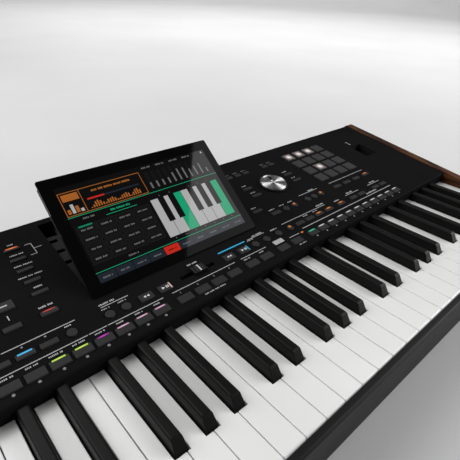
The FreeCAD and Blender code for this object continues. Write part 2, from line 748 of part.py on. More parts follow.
def usb_ports():
    """The square rear socket, and the flat socket in the back wall of the panel's pocket."""
    rear_y = REAR_FACE_Y + RIM_T
    rear = upright(USB_B_X, USB_B_SIZE, (rear_y - USB_B_LENGTH, rear_y))
    rear = rear.cut(upright(USB_B_X, USB_B_MOUTH, (rear_y - USB_B_DEPTH, rear_y + OVER)))
    u, v, w = pocket_port()
    du, dw = USB_A_SIZE[0] / 2, USB_A_SIZE[1] / 2
    wall = USB_A_WALL
    shell = block((u - du, u + du), (v, v + USB_A_LENGTH), (w - dw, w + dw))
    mouth = (v - OVER, v + USB_A_MOUTH)
    hollow = block((u - du + wall, u + du - wall), mouth, (w - dw + wall, w + dw - wall))
    tongue_u = du - USB_A_TONGUE
    tongue = block((u - tongue_u, u + tongue_u), (v + wall, v + USB_A_MOUTH), (w, w + USB_A_TONGUE))
    return group([rear, on_panel(shell.cut(hollow.cut(tongue)))])


def pocket_port():
    """The middle of the pocket socket's mouth, on the back wall of the pocket."""
    u, v = pocket_place()
    return u, v + POCKET_SIZE[1] / 2, -POCKET_DEPTH + USB_A_DROP + USB_A_SIZE[1] / 2


def usb_pocket():
    place = pocket_place()
    outside = (POCKET_SIZE[0] + 2 * POCKET_WALL, POCKET_SIZE[1] + 2 * POCKET_WALL)
    tray = centred(place, outside, (-POCKET_DEPTH - POCKET_WALL, -PANEL_T))
    tray = tray.cut(centred(place, POCKET_SIZE, (-POCKET_DEPTH, OVER)))
    u, v, w = pocket_port()
    du, dw = USB_A_SIZE[0] / 2 + SEAT_CLEAR, USB_A_SIZE[1] / 2 + SEAT_CLEAR
    return on_panel(tray.cut(block((u - du, u + du), (v - OVER, v + OVER), (w - dw, w + dw))))


# Display
def well_space(w):
    """The space the display's rear cover folds into, between two heights."""
    back = DISPLAY_V + DISPLAY_H - COVER_INSET + WELL_BACK_GAP
    return block((-WELL_HALF, WELL_HALF), (DISPLAY_V - WELL_FRONT_GAP, back), w)


def display_well():
    """A tray with a notch for cables in both back corners and a few air slots along its sides."""
    half = WELL_HALF + WELL_WALL
    front = DISPLAY_V - WELL_FRONT_GAP - WELL_WALL
    back = DISPLAY_V + DISPLAY_H - COVER_INSET + WELL_BACK_GAP + WELL_WALL
    low = -WELL_DEPTH - WELL_WALL
    tray = block((-half, half), (front, back), (low, -PANEL_T))
    reach = half + OVER
    cuts = [well_space((-WELL_DEPTH, OVER)), round_x(HINGE_PIN_R + SEAT_CLEAR, -reach, reach, *HINGE_PLACE)]
    notch_v = back - WELL_WALL - NOTCH_SIZE[1]
    for side in (-1, 1):
        ends = sorted(side * (WELL_HALF - NOTCH_IN - width) for width in (0, NOTCH_SIZE[0]))
        cuts.append(block(ends, (notch_v, back + OVER), (low - OVER, -PANEL_T - WELL_WALL)))
        slot_u = side * (WELL_HALF - NOTCH_IN - SLOT_SIZE[0] / 2)
        for share in SLOT_SHARES:
            cuts.append(centred((slot_u, at_zone(share)), SLOT_SIZE, (low - OVER, OVER - WELL_DEPTH)))
    return on_panel(tray.cut(cuts))


def display_hinge_pins():
    outer = WELL_HALF + WELL_WALL
    inner = COVER_HALF - HINGE_PIN_GRIP
    spans = ((inner, outer), (-outer, -inner))
    return on_panel(group([round_x(HINGE_PIN_R, *span, *HINGE_PLACE) for span in spans]))


def raised(shape):
    """Swing a shape that is drawn folded down up to the display's angle."""
    lifted = shape.copy()
    lifted.rotate(V(0, *HINGE_PLACE), ALONG_X, DISPLAY_OPEN)
    return on_panel(lifted)


def display_slab(inset, depths):
    """A rounded slab of the folded display, inset from the glass and between two depths behind its face."""
    half = DISPLAY_W / 2 - inset
    levels = (DISPLAY_PROUD - depths[1], DISPLAY_PROUD - depths[0])
    slab = block((-half, half), (DISPLAY_V + inset, DISPLAY_V + DISPLAY_H - inset), levels)
    corners = [edge for edge in slab.Edges if edge.BoundBox.ZLength > TINY]
    return slab.makeFillet(DISPLAY_CORNER_R, corners)


def display_glass():
    return raised(display_slab(0, (0, GLASS_T)))


def display_back_cover():
    behind = (GLASS_T, DISPLAY_T)
    outside = display_slab(COVER_INSET, behind)
    cover = outside.cut(display_slab(COVER_INSET + COVER_WALL, (0, DISPLAY_T - COVER_WALL)))
    grip = HINGE_PIN_GRIP + COVER_WALL
    low = DISPLAY_V + COVER_INSET
    high = HINGE_PLACE[0] + HINGE_IN
    levels = (DISPLAY_PROUD - DISPLAY_T, DISPLAY_PROUD - GLASS_T)
    for x0, x1 in ((-COVER_HALF, grip - COVER_HALF), (COVER_HALF - grip, COVER_HALF)):
        cover = cover.fuse(block((x0, x1), (low, high), levels).common(outside))
    bore_end = COVER_HALF - HINGE_PIN_GRIP - RUN_CLEAR
    for x0, x1 in ((-COVER_HALF - OVER, -bore_end), (bore_end, COVER_HALF + OVER)):
        cover = cover.cut(round_x(HINGE_PIN_R + RUN_CLEAR, x0, x1, *HINGE_PLACE))
    return raised(cover)


def display_lcd():
    half = DISPLAY_W / 2 - LCD_MARGIN
    levels = (DISPLAY_PROUD - GLASS_T - LCD_T, DISPLAY_PROUD - GLASS_T)
    panel = block((-half, half), (DISPLAY_V + LCD_MARGIN, DISPLAY_V + DISPLAY_H - LCD_MARGIN), levels)
    return raised(panel)


# Buttons, dial and faders
def button(size, rise):
    """A cap with a chamfered top, which reaches through the panel."""
    cap = centred((0, 0), size, (-PANEL_T - BUTTON_DROP, rise))
    return cap.makeChamfer(BUTTON_CHAMFER, edges_at(cap, lambda p: p.z > 0))


def button_group(fields, rise):
    caps = []
    for size, spots in fields:
        pattern = button(size, rise)
        caps += [on_panel(moved(pattern, u, v, 0)) for u, v in spots]
    return group(caps)


def round_buttons():
    low, high = -PANEL_T - BUTTON_DROP, BUTTON_RISE
    profile = [(0, low), (ROUND_R, low), (ROUND_R, high - BUTTON_CHAMFER),
               (ROUND_R - BUTTON_CHAMFER, high), (0, high)]
    pattern = turned(profile)
    return group([on_panel(moved(pattern, u, v, 0)) for u, v in round_places()])


def dial_skirt():
    top = DIAL_FLOAT + DIAL_SKIRT_T
    low = BOARD_TOP_W + UNIT_CLEAR
    profile = [(0, low), (SHAFT_R, low), (SHAFT_R, DIAL_FLOAT), (DIAL_SKIRT_R, DIAL_FLOAT),
               (DIAL_SKIRT_R, top - DIAL_FLOAT), (DIAL_SKIRT_R - DIAL_FLOAT, top), (0, top)]
    return on_panel(moved(turned(profile), *dial_place(), 0))


def dial_cap():
    """A spun disc with a raised rim, a shallow dish and a finger dimple."""
    low = DIAL_FLOAT + DIAL_SKIRT_T
    top = low + DIAL_CAP_T
    profile = [(0, low), (DIAL_R, low), (DIAL_R, top - DIAL_DISH), (DIAL_R - DIAL_DISH, top),
               (DIAL_R - DIAL_DISH - DIAL_RIM, top), (0, top - DIAL_DISH)]
    turn = math.radians(DIMPLE_TURN)
    ball_r = (DIMPLE_R ** 2 + DIMPLE_DEPTH ** 2) / (2 * DIMPLE_DEPTH)
    ball_z = top - DIAL_DISH / 2 - DIMPLE_DEPTH + ball_r
    centre = V(DIMPLE_OUT * math.cos(turn), DIMPLE_OUT * math.sin(turn), ball_z)
    cap = turned(profile).cut(Part.makeSphere(ball_r, centre))
    return on_panel(moved(cap, *dial_place(), 0))


def volume_knob():
    shaft_end = BOARD_TOP_W + UNIT_CLEAR
    low, top = DIAL_FLOAT, DIAL_FLOAT + KNOB_H
    profile = [(0, shaft_end), (SHAFT_R, shaft_end), (SHAFT_R, low), (KNOB_R, low),
               (KNOB_TOP_R, top - BUTTON_RISE), (KNOB_TOP_R - BUTTON_RISE, top), (0, top)]
    half = KNOB_GROOVE / 2
    groove = block((-half, half), (0, KNOB_R + OVER), (top - KNOB_GROOVE, top + OVER))
    return on_panel(moved(turned(profile).cut(groove), *knob_place(), 0))


def fader_cap(length, width):
    """A cap with eased ends, grip grooves on both sides of its middle and a stem; it slides along u."""
    half, slope = length / 2, FADER_CAP_SLOPE
    low, high = FADER_CAP_FLOAT, FADER_CAP_FLOAT + FADER_CAP[2]
    groove = FADER_GROOVE
    outline = [(-half, low), (half, low), (half, high - slope), (half - slope, high)]
    for rib in [side * out for side, outs in ((1, FADER_RIBS[::-1]), (-1, FADER_RIBS)) for out in outs]:
        outline += [(rib + groove, high), (rib, high - groove), (rib - groove, high)]
    outline += [(slope - half, high), (-half, high - slope)]
    cap = prism_y(outline, -width / 2, width / 2)
    stem = centred((0, 0), FADER_STEM, (BOARD_TOP_W + 2 * UNIT_CLEAR + FADER_STEM[1], low))
    return cap.fuse(stem)


def crossfader_cap():
    return on_panel(moved(fader_cap(FADER_CAP[0], FADER_CAP[1]), FADER_SET, FADER_ROW_V, 0))


def slider_caps():
    pattern = fader_cap(FADER_CAP[0], SLIDER_CAP_W)
    pattern.rotate(V(), ALONG_Z, 90)
    return group([on_panel(moved(pattern, u, v, 0)) for u, v in slider_places()])


def fader_unit(travel):
    """A slide potentiometer body with its slot."""
    length = travel + OVER + FADER_STEM[0]
    low = BOARD_TOP_W + UNIT_CLEAR
    body = centred((0, 0), (length + 2 * FADER_UNIT_END, FADER_UNIT_W), (low, -PANEL_T))
    return body.cut(centred((0, 0), (length, FADER_SLOT_W), (low + FADER_STEM[1], OVER)))


def rotary_unit(place):
    body = round_z(2 * SHAFT_R, place, BOARD_TOP_W, -PANEL_T)
    return body.cut(round_z(SHAFT_R + RUN_CLEAR, place, BOARD_TOP_W - OVER, OVER))


def control_units():
    units = [moved(fader_unit(FADER_TRAVEL), 0, FADER_ROW_V, 0)]
    pattern = fader_unit(SLIDER_TRAVEL)
    pattern.rotate(V(), ALONG_Z, 90)
    units += [moved(pattern, u, v, 0) for u, v in slider_places()]
    units += [rotary_unit(place) for place in (dial_place(), knob_place())]
    return group([on_panel(unit) for unit in units])


def panel_board():
    """The circuit board under the controls, hung from the panel on posts, with a bay for the display."""
    level = (BOARD_TOP_W - BOARD_T, BOARD_TOP_W)
    right = pocket_place()[0] - POCKET_SIZE[0] / 2 - POCKET_WALL - BOARD_CLEAR
    left = BOARD_SIDE_GAP - HALF_BODY
    board = block((left, right), (BOARD_FRONT_V, PANEL_LENGTH - BOARD_SIDE_GAP), level)
    half = WELL_HALF + WELL_WALL + BOARD_CLEAR
    front = DISPLAY_V - WELL_FRONT_GAP - WELL_WALL - BOARD_CLEAR
    bay = block((-half, half), (front, PANEL_LENGTH + OVER), (level[0] - OVER, level[1] + OVER))
    posts = []
    beside = half + 2 * POST_R
    for u in [share * HALF_BODY for share in POST_END_SHARES] + [-beside, beside]:
        posts.append(standoff((u, at_zone(POST_V_SHARE)), BOARD_TOP_W, -PANEL_T))
    return on_panel(board.cut(bay).fuse(posts))


# Joystick
def joy_centre():
    block_x = -HALF_BODY + BLOCK_WIDTH / 2
    return block_x, (KEY_FRONT_Y + PANEL_Y) / 2, KEY_TOP_Z - JOY_BLOCK_DROP - JOY_PIVOT_DROP


def joystick_block():
    """A moulded cover left of the keys, with a round hole and two posts for the gimbal's pins."""
    x, y, z = joy_centre()
    top = KEY_TOP_Z - JOY_BLOCK_DROP
    sides = (-HALF_BODY, -HALF_BODY + BLOCK_WIDTH)
    ends = (KEY_FRONT_Y - SLIP_GAP, PANEL_Y + PANEL_T)
    wall = JOY_BLOCK_WALL
    cover = block(sides, ends, (top - JOY_BLOCK_H, top))
    cover = cover.cut(block((sides[0] + wall, sides[1] - wall), (ends[0] + wall, ends[1] - wall),
                            (top - JOY_BLOCK_H - OVER, top - wall)))
    posts = []
    for side in (-1, 1):
        y0, y1 = sorted((y + side * JOY_POST_START, y + side * (JOY_POST_START + JOY_POST_T)))
        half = JOY_POST_W / 2
        posts.append(block((x - half, x + half), (y0, y1), (z - half, top - wall)))
    cover = cover.fuse(posts)
    hole_r = math.sqrt(JOY_DOME_R ** 2 - (JOY_PIVOT_DROP - wall) ** 2) + JOY_HOLE_CLEAR
    reach = JOY_POST_START + JOY_POST_T + OVER
    pins = round_y(JOY_PIN_R + RUN_CLEAR, x, y - reach, y + reach, z)
    return cover.cut([round_z(hole_r, (x, y), top - wall - TINY, top + OVER), pins])


def joystick_gimbal():
    """A ring that rocks left and right on two pins."""
    x, y, z = joy_centre()
    level = (z - JOY_RING_H / 2, z + JOY_RING_H / 2)
    inner = JOY_RING_R - JOY_RING_WALL
    ring = round_z(JOY_RING_R, (x, y), *level)
    spans = ((y - JOY_PIN_END, y - inner), (y + inner, y + JOY_PIN_END))
    pins = [round_y(JOY_PIN_R, x, *span, z) for span in spans]
    ring = ring.fuse(pins).cut(round_z(inner, (x, y), level[0] - OVER, level[1] + OVER))
    return ring.cut(round_x(JOY_PIN_R + RUN_CLEAR, x - JOY_RING_R - OVER, x + JOY_RING_R + OVER, y, z))


def joystick_lever():
    """A domed stick with a round grip, on cross pins in the gimbal ring."""
    x, y, z = joy_centre()
    reach = math.radians(JOY_DOME_REACH)
    crown = round_z(JOY_DOME_R + OVER, (0, 0), JOY_DOME_R * math.cos(reach), JOY_DOME_R + OVER)
    dome = Part.makeSphere(JOY_DOME_R).common(crown)
    stick = round_z(JOY_STICK_R, (0, 0), -JOY_RING_H / 2, JOY_STICK_H)
    pin_end = JOY_RING_R - SEAT_CLEAR
    pin = round_x(JOY_PIN_R, -pin_end, pin_end, 0, 0)
    grip = Part.makeSphere(JOY_BALL_R, V(0, 0, JOY_STICK_H))
    return moved(dome.fuse([stick, pin, grip]), x, y, z)


# Key bed
def frame_bends():
    plate_y = KEY_FRONT_Y + FRAME_FRONT_IN
    leg_y = KEY_FRONT_Y + FRAME_LEG_IN
    back_y = PIVOT_Y + PIVOT_BOSS + FRAME_T
    return [(leg_y + FRAME_FOOT, FLOOR_Z), (leg_y, FLOOR_Z), (plate_y, FRAME_PLATE_Z),
            (back_y, FRAME_PLATE_Z), (back_y, FLOOR_Z), (back_y - FRAME_FOOT, FLOOR_Z)]


def key_frame():
    """A folded steel bed with a rail that carries the pivot rod."""
    frame = prism_x(sheet_outline(frame_bends(), -FRAME_T), KEYS_LEFT_X, KEYS_RIGHT_X)
    rail_top = PIVOT_Z - RAIL_WRAP
    rail = [(PIVOT_Y - PIVOT_BOSS, FRAME_PLATE_Z), (PIVOT_Y + PIVOT_BOSS, FRAME_PLATE_Z),
            (PIVOT_Y + PIVOT_ROD_R + FRAME_T, rail_top), (PIVOT_Y - PIVOT_ROD_R - FRAME_T, rail_top)]
    frame = frame.fuse(prism_x(rail, KEYS_LEFT_X, KEYS_RIGHT_X))
    cuts = [round_x(PIVOT_ROD_R + SEAT_CLEAR, KEYS_LEFT_X - OVER, KEYS_RIGHT_X + OVER, PIVOT_Y, PIVOT_Z)]
    hole_r = SCREW_R + SCREW_CLEAR
    cuts += [round_z(hole_r, place, FLOOR_Z - OVER, FLOOR_Z + SCREW_LENGTH) for place in screw_places()]
    return frame.cut(cuts).removeSplitter()


def key_pivot_rod():
    return round_x(PIVOT_ROD_R, KEYS_LEFT_X, KEYS_RIGHT_X, PIVOT_Y, PIVOT_Z)


def key_stop_felt():
    y = KEY_FRONT_Y + FELT_IN
    return block((KEYS_LEFT_X, KEYS_RIGHT_X), (y, y + FELT_WIDTH), (FRAME_PLATE_Z, FRAME_PLATE_Z + FELT_T))


def key_contact_board():
    """The contact board with its rubber ridge, which the keys press down on."""
    y = KEY_FRONT_Y + CONTACT_IN
    low = FRAME_PLATE_Z + BOARD_T
    high = KEY_TOP_Z - KEY_HEIGHT - CONTACT_TRAVEL - CONTACT_CLEAR
    middle = y + CONTACT_WIDTH / 2
    board = block((KEYS_LEFT_X, KEYS_RIGHT_X), (y, y + CONTACT_WIDTH), (FRAME_PLATE_Z, low))
    ridge = [(middle - CONTACT_RIDGE, low), (middle + CONTACT_RIDGE, low),
             (middle + CONTACT_RIDGE / 2, high), (middle - CONTACT_RIDGE / 2, high)]
    return board.fuse(prism_x(ridge, KEYS_LEFT_X, KEYS_RIGHT_X))


def main_board():
    """The main circuit board on posts, with its larger chips."""
    x = MAIN_BOARD_U_SHARE * HALF_BODY
    y = REAR_IN_Y - BOARD_REAR_GAP - MAIN_BOARD_SIZE[1] / 2
    low = FLOOR_Z + MAIN_POST_H
    board = centred((x, y), MAIN_BOARD_SIZE, (low, low + BOARD_T))
    extras = []
    for i in range(CHIP_COUNT):
        place = (x + (i - (CHIP_COUNT - 1) / 2) * CHIP_STEP, y)
        extras.append(centred(place, CHIP_SIZE, (low + BOARD_T, low + BOARD_T + CHIP_SIZE[2])))
    post_x = MAIN_BOARD_SIZE[0] / 2 - 2 * POST_R
    post_y = MAIN_BOARD_SIZE[1] / 2 - 2 * POST_R
    for side_x in (-1, 1):
        for side_y in (-1, 1):
            extras.append(standoff((x + side_x * post_x, y + side_y * post_y), FLOOR_Z, low))
    return board.fuse(extras)


def power_supply():
    place = (SUPPLY_U_SHARE * HALF_BODY, REAR_IN_Y - INLET_LENGTH - SUPPLY_SIZE[1] / 2)
    return centred(place, SUPPLY_SIZE, (FLOOR_Z, FLOOR_Z + SUPPLY_SIZE[2]))


# Keys
def note_centre(octave, note):
    """The middle of a key's tail: five even tails from C to E, seven from F to B."""
    start = KEYS_LEFT_X + octave * 7 * KEY_PITCH
    if note < 5:
        return start + (note + 0.5) * 3 * KEY_PITCH / 5
    return start + 3 * KEY_PITCH + (note - 4.5) * 4 * KEY_PITCH / 7


def key_shank(x, start_y):
    """The bar from a key's body to its notch, whose two flanks ride on the pivot rod."""
    low = PIVOT_Z - SADDLE_WRAP
    high = low + SHANK_HEIGHT
    half = SHANK_WIDTH / 2
    reach = (PIVOT_ROD_R + RUN_CLEAR) / math.sin(math.radians(NOTCH_FLANK))
    mouth = (reach + SADDLE_WRAP) * math.tan(math.radians(NOTCH_FLANK))
    boss_z = PIVOT_Z + PIVOT_BOSS_TOP
    outline = [(start_y, low), (PIVOT_Y - mouth, low), (PIVOT_Y, PIVOT_Z + reach), (PIVOT_Y + mouth, low),
               (PIVOT_Y + PIVOT_BOSS, low), (PIVOT_Y + PIVOT_BOSS, boss_z),
               (PIVOT_Y - PIVOT_BOSS, boss_z), (PIVOT_Y - 2 * PIVOT_BOSS, high), (start_y, high)]
    return prism_x(outline, x - half, x + half)


def white_outline(sides, tail, inset):
    """A white key from above: its wide head, and its tail between the black keys."""
    x0, x1 = sides[0] + inset, sides[1] - inset
    t0, t1 = tail[0] + inset, tail[1] - inset
    front = KEY_FRONT_Y + inset
    step = KEY_FRONT_Y + BLACK_SETBACK - BLACK_CLEAR - inset
    back = KEY_FRONT_Y + KEY_LENGTH - inset
    points = [(x0, front), (x1, front), (x1, step), (t1, step),
              (t1, back), (t0, back), (t0, step), (x0, step)]
    return [p for i, p in enumerate(points) if math.dist(p, points[i - 1]) > TINY]


def white_key(octave, note):
    index = octave * 7 + WHITE_NOTES.index(note)
    x0 = KEYS_LEFT_X + index * KEY_PITCH + KEY_GAP / 2
    sides = (x0, x0 + KEY_PITCH - KEY_GAP)
    room = BLACK_WIDTH / 2 + BLACK_CLEAR
    last = index == WHITES - 1
    left = note_centre(octave, note - 1) + room if note - 1 in BLACK_NOTES else sides[0]
    right = note_centre(octave, note + 1) - room if note + 1 in BLACK_NOTES and not last else sides[1]
    tail = (left, right)
    low = KEY_TOP_Z - KEY_HEIGHT
    body = prism_z(white_outline(sides, tail, 0), low, KEY_TOP_Z)
    front_edge = edges_at(body, lambda p: abs(p.y - KEY_FRONT_Y) < TINY and abs(p.z - KEY_TOP_Z) < TINY)
    body = body.makeChamfer(KEY_EDGE_R, front_edge)
    body = body.cut(prism_z(white_outline(sides, tail, KEY_WALL), low - OVER, KEY_TOP_Z - KEY_SKIN))
    return body.fuse(key_shank(sum(tail) / 2, KEY_FRONT_Y + KEY_LENGTH - KEY_WALL)).removeSplitter()


def black_key(octave, note):
    """A tapered key with a slanting front and eased edges, hollow underneath."""
    x = note_centre(octave, note)
    half = BLACK_WIDTH / 2
    front = KEY_FRONT_Y + BLACK_SETBACK
    back = PANEL_Y - BLACK_END_GAP
    top_z = KEY_TOP_Z + BLACK_RISE

    def ring(inset, slant, z):
        side = half - inset
        corners = [(-side, front + slant), (side, front + slant), (side, back), (-side, back)]
        points = [V(x + px, py, z) for px, py in corners]
        return Part.makePolygon(points + points[:1])
    ease = BLACK_EDGE_R
    rings = [ring(0, 0, KEY_TOP_Z), ring(BLACK_TAPER, BLACK_SLANT, top_z - ease),
             ring(BLACK_TAPER + ease / 3, BLACK_SLANT + ease, top_z - ease / 3),
             ring(BLACK_TAPER + ease, BLACK_SLANT + 2 * ease, top_z)]
    body = Part.makeLoft(rings, True, True)
    skirt = block((x - half, x + half), (front, back), (KEY_TOP_Z - BLACK_SKIRT, KEY_TOP_Z))
    wall = KEY_WALL
    hollow = block((x - half + wall, x + half - wall), (front + wall, back - wall),
                   (KEY_TOP_Z - BLACK_SKIRT - OVER, KEY_TOP_Z - wall))
    return body.fuse(skirt).cut(hollow).fuse(key_shank(x, back - wall)).removeSplitter()


def key(octave, note):
    return black_key(octave, note) if note in BLACK_NOTES else white_key(octave, note)


def key_nodes():
    """One octave of keys that play one by one, and the rest of the keys in sets."""
    lower, upper = range(PLAYED_OCTAVE), range(PLAYED_OCTAVE + 1, OCTAVES)
    nodes = {"key_" + name: key(PLAYED_OCTAVE, note) for note, name in enumerate(NOTE_NAMES)}
    nodes["lower_white_keys"] = group([key(o, note) for o in lower for note in WHITE_NOTES])
    nodes["lower_black_keys"] = group([key(o, note) for o in lower for note in BLACK_NOTES])
    top_c = white_key(OCTAVES, 0)
    nodes["upper_white_keys"] = group([key(o, note) for o in upper for note in WHITE_NOTES] + [top_c])
    nodes["upper_black_keys"] = group([key(o, note) for o in upper for note in BLACK_NOTES])
    return nodes


def all_nodes():
    nodes = {
        "bottom_case": bottom_case(), "front_slip": front_slip(), "top_panel": top_panel(),
        "rear_panel": rear_panel(),
        "left_cheek": cheek(-HALF_BODY - CHEEK_T, -HALF_BODY, -HALF_BODY - CHEEK_T),
        "right_cheek": cheek(HALF_BODY, HALF_BODY + CHEEK_T, HALF_BODY + CHEEK_T),
        "rubber_feet": rubber_feet(), "case_screws": case_screws(), "joystick_block": joystick_block(),
        "joystick_gimbal": joystick_gimbal(), "joystick_lever": joystick_lever(),
        "key_frame": key_frame(), "key_pivot_rod": key_pivot_rod(), "key_stop_felt": key_stop_felt(),
        "key_contact_board": key_contact_board(), "main_board": main_board(), "power_supply": power_supply(),
        "panel_board": panel_board(), "control_units": control_units(),
        "jack_sockets": jack_sockets(), "midi_sockets": midi_sockets(), "power_inlet": power_inlet(),
        "power_switch": power_switch(), "usb_ports": usb_ports(), "usb_pocket": usb_pocket(),
        "display_well": display_well(), "display_hinge_pins": display_hinge_pins(),
        "display_glass": display_glass(), "display_back_cover": display_back_cover(),
        "display_lcd": display_lcd(),
        "round_buttons": round_buttons(), "dial_skirt": dial_skirt(), "dial_cap": dial_cap(),
        "volume_knob": volume_knob(), "crossfader_cap": crossfader_cap(), "slider_caps": slider_caps(),
    }
    for name, fields in button_fields().items():
        nodes[name] = button_group(fields, PAD_RISE if name == "trigger_pads" else BUTTON_RISE)
    nodes.update(key_nodes())
    return nodes


os.makedirs("parts", exist_ok=True)
for name, shape in all_nodes().items():
    shape.exportStep("parts/" + name + ".step")
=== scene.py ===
import json
import math
import random
from collections import namedtuple
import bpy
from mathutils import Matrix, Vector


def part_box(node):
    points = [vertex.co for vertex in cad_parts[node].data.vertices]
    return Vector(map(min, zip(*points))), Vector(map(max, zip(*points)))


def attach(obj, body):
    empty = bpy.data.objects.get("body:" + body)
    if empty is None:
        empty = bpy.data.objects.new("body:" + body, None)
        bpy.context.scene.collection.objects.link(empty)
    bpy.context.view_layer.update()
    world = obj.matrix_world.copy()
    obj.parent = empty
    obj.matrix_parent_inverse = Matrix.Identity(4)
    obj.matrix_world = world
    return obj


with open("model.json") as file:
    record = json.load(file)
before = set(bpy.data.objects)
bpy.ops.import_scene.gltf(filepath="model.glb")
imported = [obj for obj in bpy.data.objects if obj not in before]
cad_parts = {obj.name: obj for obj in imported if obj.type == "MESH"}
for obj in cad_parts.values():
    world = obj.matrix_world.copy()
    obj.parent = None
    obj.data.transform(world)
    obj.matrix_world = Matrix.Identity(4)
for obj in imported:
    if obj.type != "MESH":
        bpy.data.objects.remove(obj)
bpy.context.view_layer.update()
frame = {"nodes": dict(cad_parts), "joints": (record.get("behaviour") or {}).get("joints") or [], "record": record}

from types import SimpleNamespace as Sizes

import bmesh
import bpy
from mathutils import Matrix, Vector

# The looks of an arranger keyboard: finishes, rounded edges, printing, lamps, the lit screen and contacts.
# Places and sizes on a surface are in millimetres along its own axes, the rest is in metres.
MM = 0.001
SEED = 7
SOLID_WELD = 0.001 * MM
ROW_STEP = 4.0
nodes = frame["nodes"]
slots = {row["node"]: row["material_slot"] for row in frame["record"]["subparts"]}
joints = {joint["name"]: joint for joint in frame["joints"]}

# Camera, worked out from the photograph: its place from the middle of the panel's front edge
CAMERA = Sizes(offset=(-0.2118, -0.23308, 0.2641), azimuth=43.17, down=31.46, roll=2.74, clip_start=0.01)
FOCAL_PIXELS = 422.49
IMAGE_PIXELS = 460
SENSOR_MM = 36.0

# Printing and films
FILM_LOW = -0.02
FILM_HIGH = 0.05
FILM_WELD = 0.0005 * MM
CAP_FILM_LOW = -0.25
CAP_FILM_HIGH = 0.06
LINE_WIDTH = 0.8
LETTER_HEIGHT = 1.5
LETTER_GAP = 0.45
LETTER_WIDTHS = (0.7, 1.2)
LETTER_SHARES = (1.0, 1.0, 0.82)
WORD_LETTERS = (3, 6)
WORD_GAP = 1.1
CORNER_TURNS = (0, 30, 60, 90)
DISC_SIDES = 16
DOT_SIDES = 10


# Surfaces that carry printing: an origin, two directions along the surface and one out of it
class Surface:
    def __init__(self, origin, along, up, out):
        self.origin, self.along, self.up, self.out = origin, along, up, out

    def point(self, u, v, w=0.0):
        return self.origin + MM * (u * self.along + v * self.up + w * self.out)

    def local(self, point):
        offset = (point - self.origin) / MM
        return offset.dot(self.along), offset.dot(self.up), offset.dot(self.out)


def panel_surface():
    """The top panel: its slope is the line that the buttons are pressed along."""
    out = -Vector(joints["style_press"]["axis"]).normalized()
    along = Vector((1, 0, 0))
    level = max(vertex.co.dot(out) for vertex in nodes["top_panel"].data.vertices)
    front_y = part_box("top_panel")[0].y
    origin = Vector((0, front_y, (level - out.y * front_y) / out.z))
    return Surface(origin, along, out.cross(along), out)


def display_surface():
    """The front of the display glass, from its lower left corner."""
    mesh = nodes["display_glass"].data
    faces = [face for face in mesh.polygons if face.normal.z > 0 and face.normal.y < 0]
    out = max(faces, key=lambda face: face.area).normal.copy()
    along = Vector((1, 0, 0))
    up = out.cross(along)
    corner = [min(vertex.co.dot(axis) for vertex in mesh.vertices) for axis in (along, up)]
    level = max(vertex.co.dot(out) for vertex in mesh.vertices)
    return Surface(corner[0] * along + corner[1] * up + level * out, along, up, out)


panel = panel_surface()
glass = display_surface()


# Separate solids of a CAD node
def islands(node):
    """The points of each solid."""
    mesh = bmesh.new()
    mesh.from_mesh(nodes[node].data)
    bmesh.ops.remove_doubles(mesh, verts=mesh.verts, dist=SOLID_WELD)
    found, waiting = [], set(mesh.verts)
    while waiting:
        island, edge = [], [waiting.pop()]
        while edge:
            vertex = edge.pop()
            island.append(vertex.co.copy())
            near = waiting.intersection(link.other_vert(vertex) for link in vertex.link_edges)
            waiting -= near
            edge.extend(near)
        found.append(island)
    mesh.free()
    return found


def corners(points):
    """The lowest and the highest corner."""
    return [[pick(point[i] for point in points) for i in range(3)] for pick in (min, max)]


def solid_boxes(node):
    """The box of each solid, from left to right."""
    found = [[Vector(corner) for corner in corners(island)] for island in islands(node)]
    return sorted(found, key=lambda ends: ends[0].x)


class Spot:
    """One cap of a row of buttons: its middle and half sizes on the panel, and its height."""

    def __init__(self, points):
        low, high = corners([panel.local(point) for point in points])
        self.u, self.v = (low[0] + high[0]) / 2, (low[1] + high[1]) / 2
        self.du, self.dv = (high[0] - low[0]) / 2, (high[1] - low[1]) / 2
        self.top = high[2]


def spots(node):
    """The caps of a CAD node, row by row from the front and from left to right."""
    found = [Spot(island) for island in islands(node)]
    return sorted(found, key=lambda spot: (round(spot.v / ROW_STEP), spot.u))


def in_row(caps, v):
    return [cap for cap in caps if abs(cap.v - v) < ROW_STEP]


# Materials
# Where most of a noise lies
NOISE_LOW = 0.3
NOISE_HIGH = 0.7
# Sockets of a colour mix
MIX_FACTOR, MIX_FIRST, MIX_SECOND, MIX_RESULT = 0, 6, 7, 2
# Wood: the stretch of grain and pores along the plank, its tones, and the range and depth of a pore
GRAIN_STRETCH = (1, 0.09, 1)
PORE_STRETCH = (1, 0.03, 1)
WOOD_TONES = ((0.0, (0.030, 0.0095, 0.0026)), (0.45, (0.072, 0.024, 0.0070)), (1.0, (0.118, 0.044, 0.0130)))
PORE = Sizes(start=0.36, end=0.48, depth=0.05)
# Metal, and the painted shade of the dial's finger dimple, towards the back of the panel: the dimple's place out
# from the middle, its radius, the share of the radius that is fully darkened, and how dark
METAL_DARK = (0.58, 0.58, 0.60)
METAL_LIGHT = (0.68, 0.68, 0.69)
DIMPLE_PAINTED_SHADE = Sizes(out=10.0, radius=5.8, flat_share=0.8, tone=0.12)
# Where the light of a lamp ends, from the middle of its UV
LAMP_SOFT = 0.55
UV_MIDDLE = (0.5, 0.5, 0.0)


def new_material(name):
    material = bpy.data.materials.new(name)
    material.use_nodes = True
    tree = material.node_tree
    return material, tree, tree.nodes["Principled BSDF"]


def add(tree, kind, **values):
    node = tree.nodes.new("ShaderNode" + kind)
    for name, value in values.items():
        setattr(node, name, value)
    return node


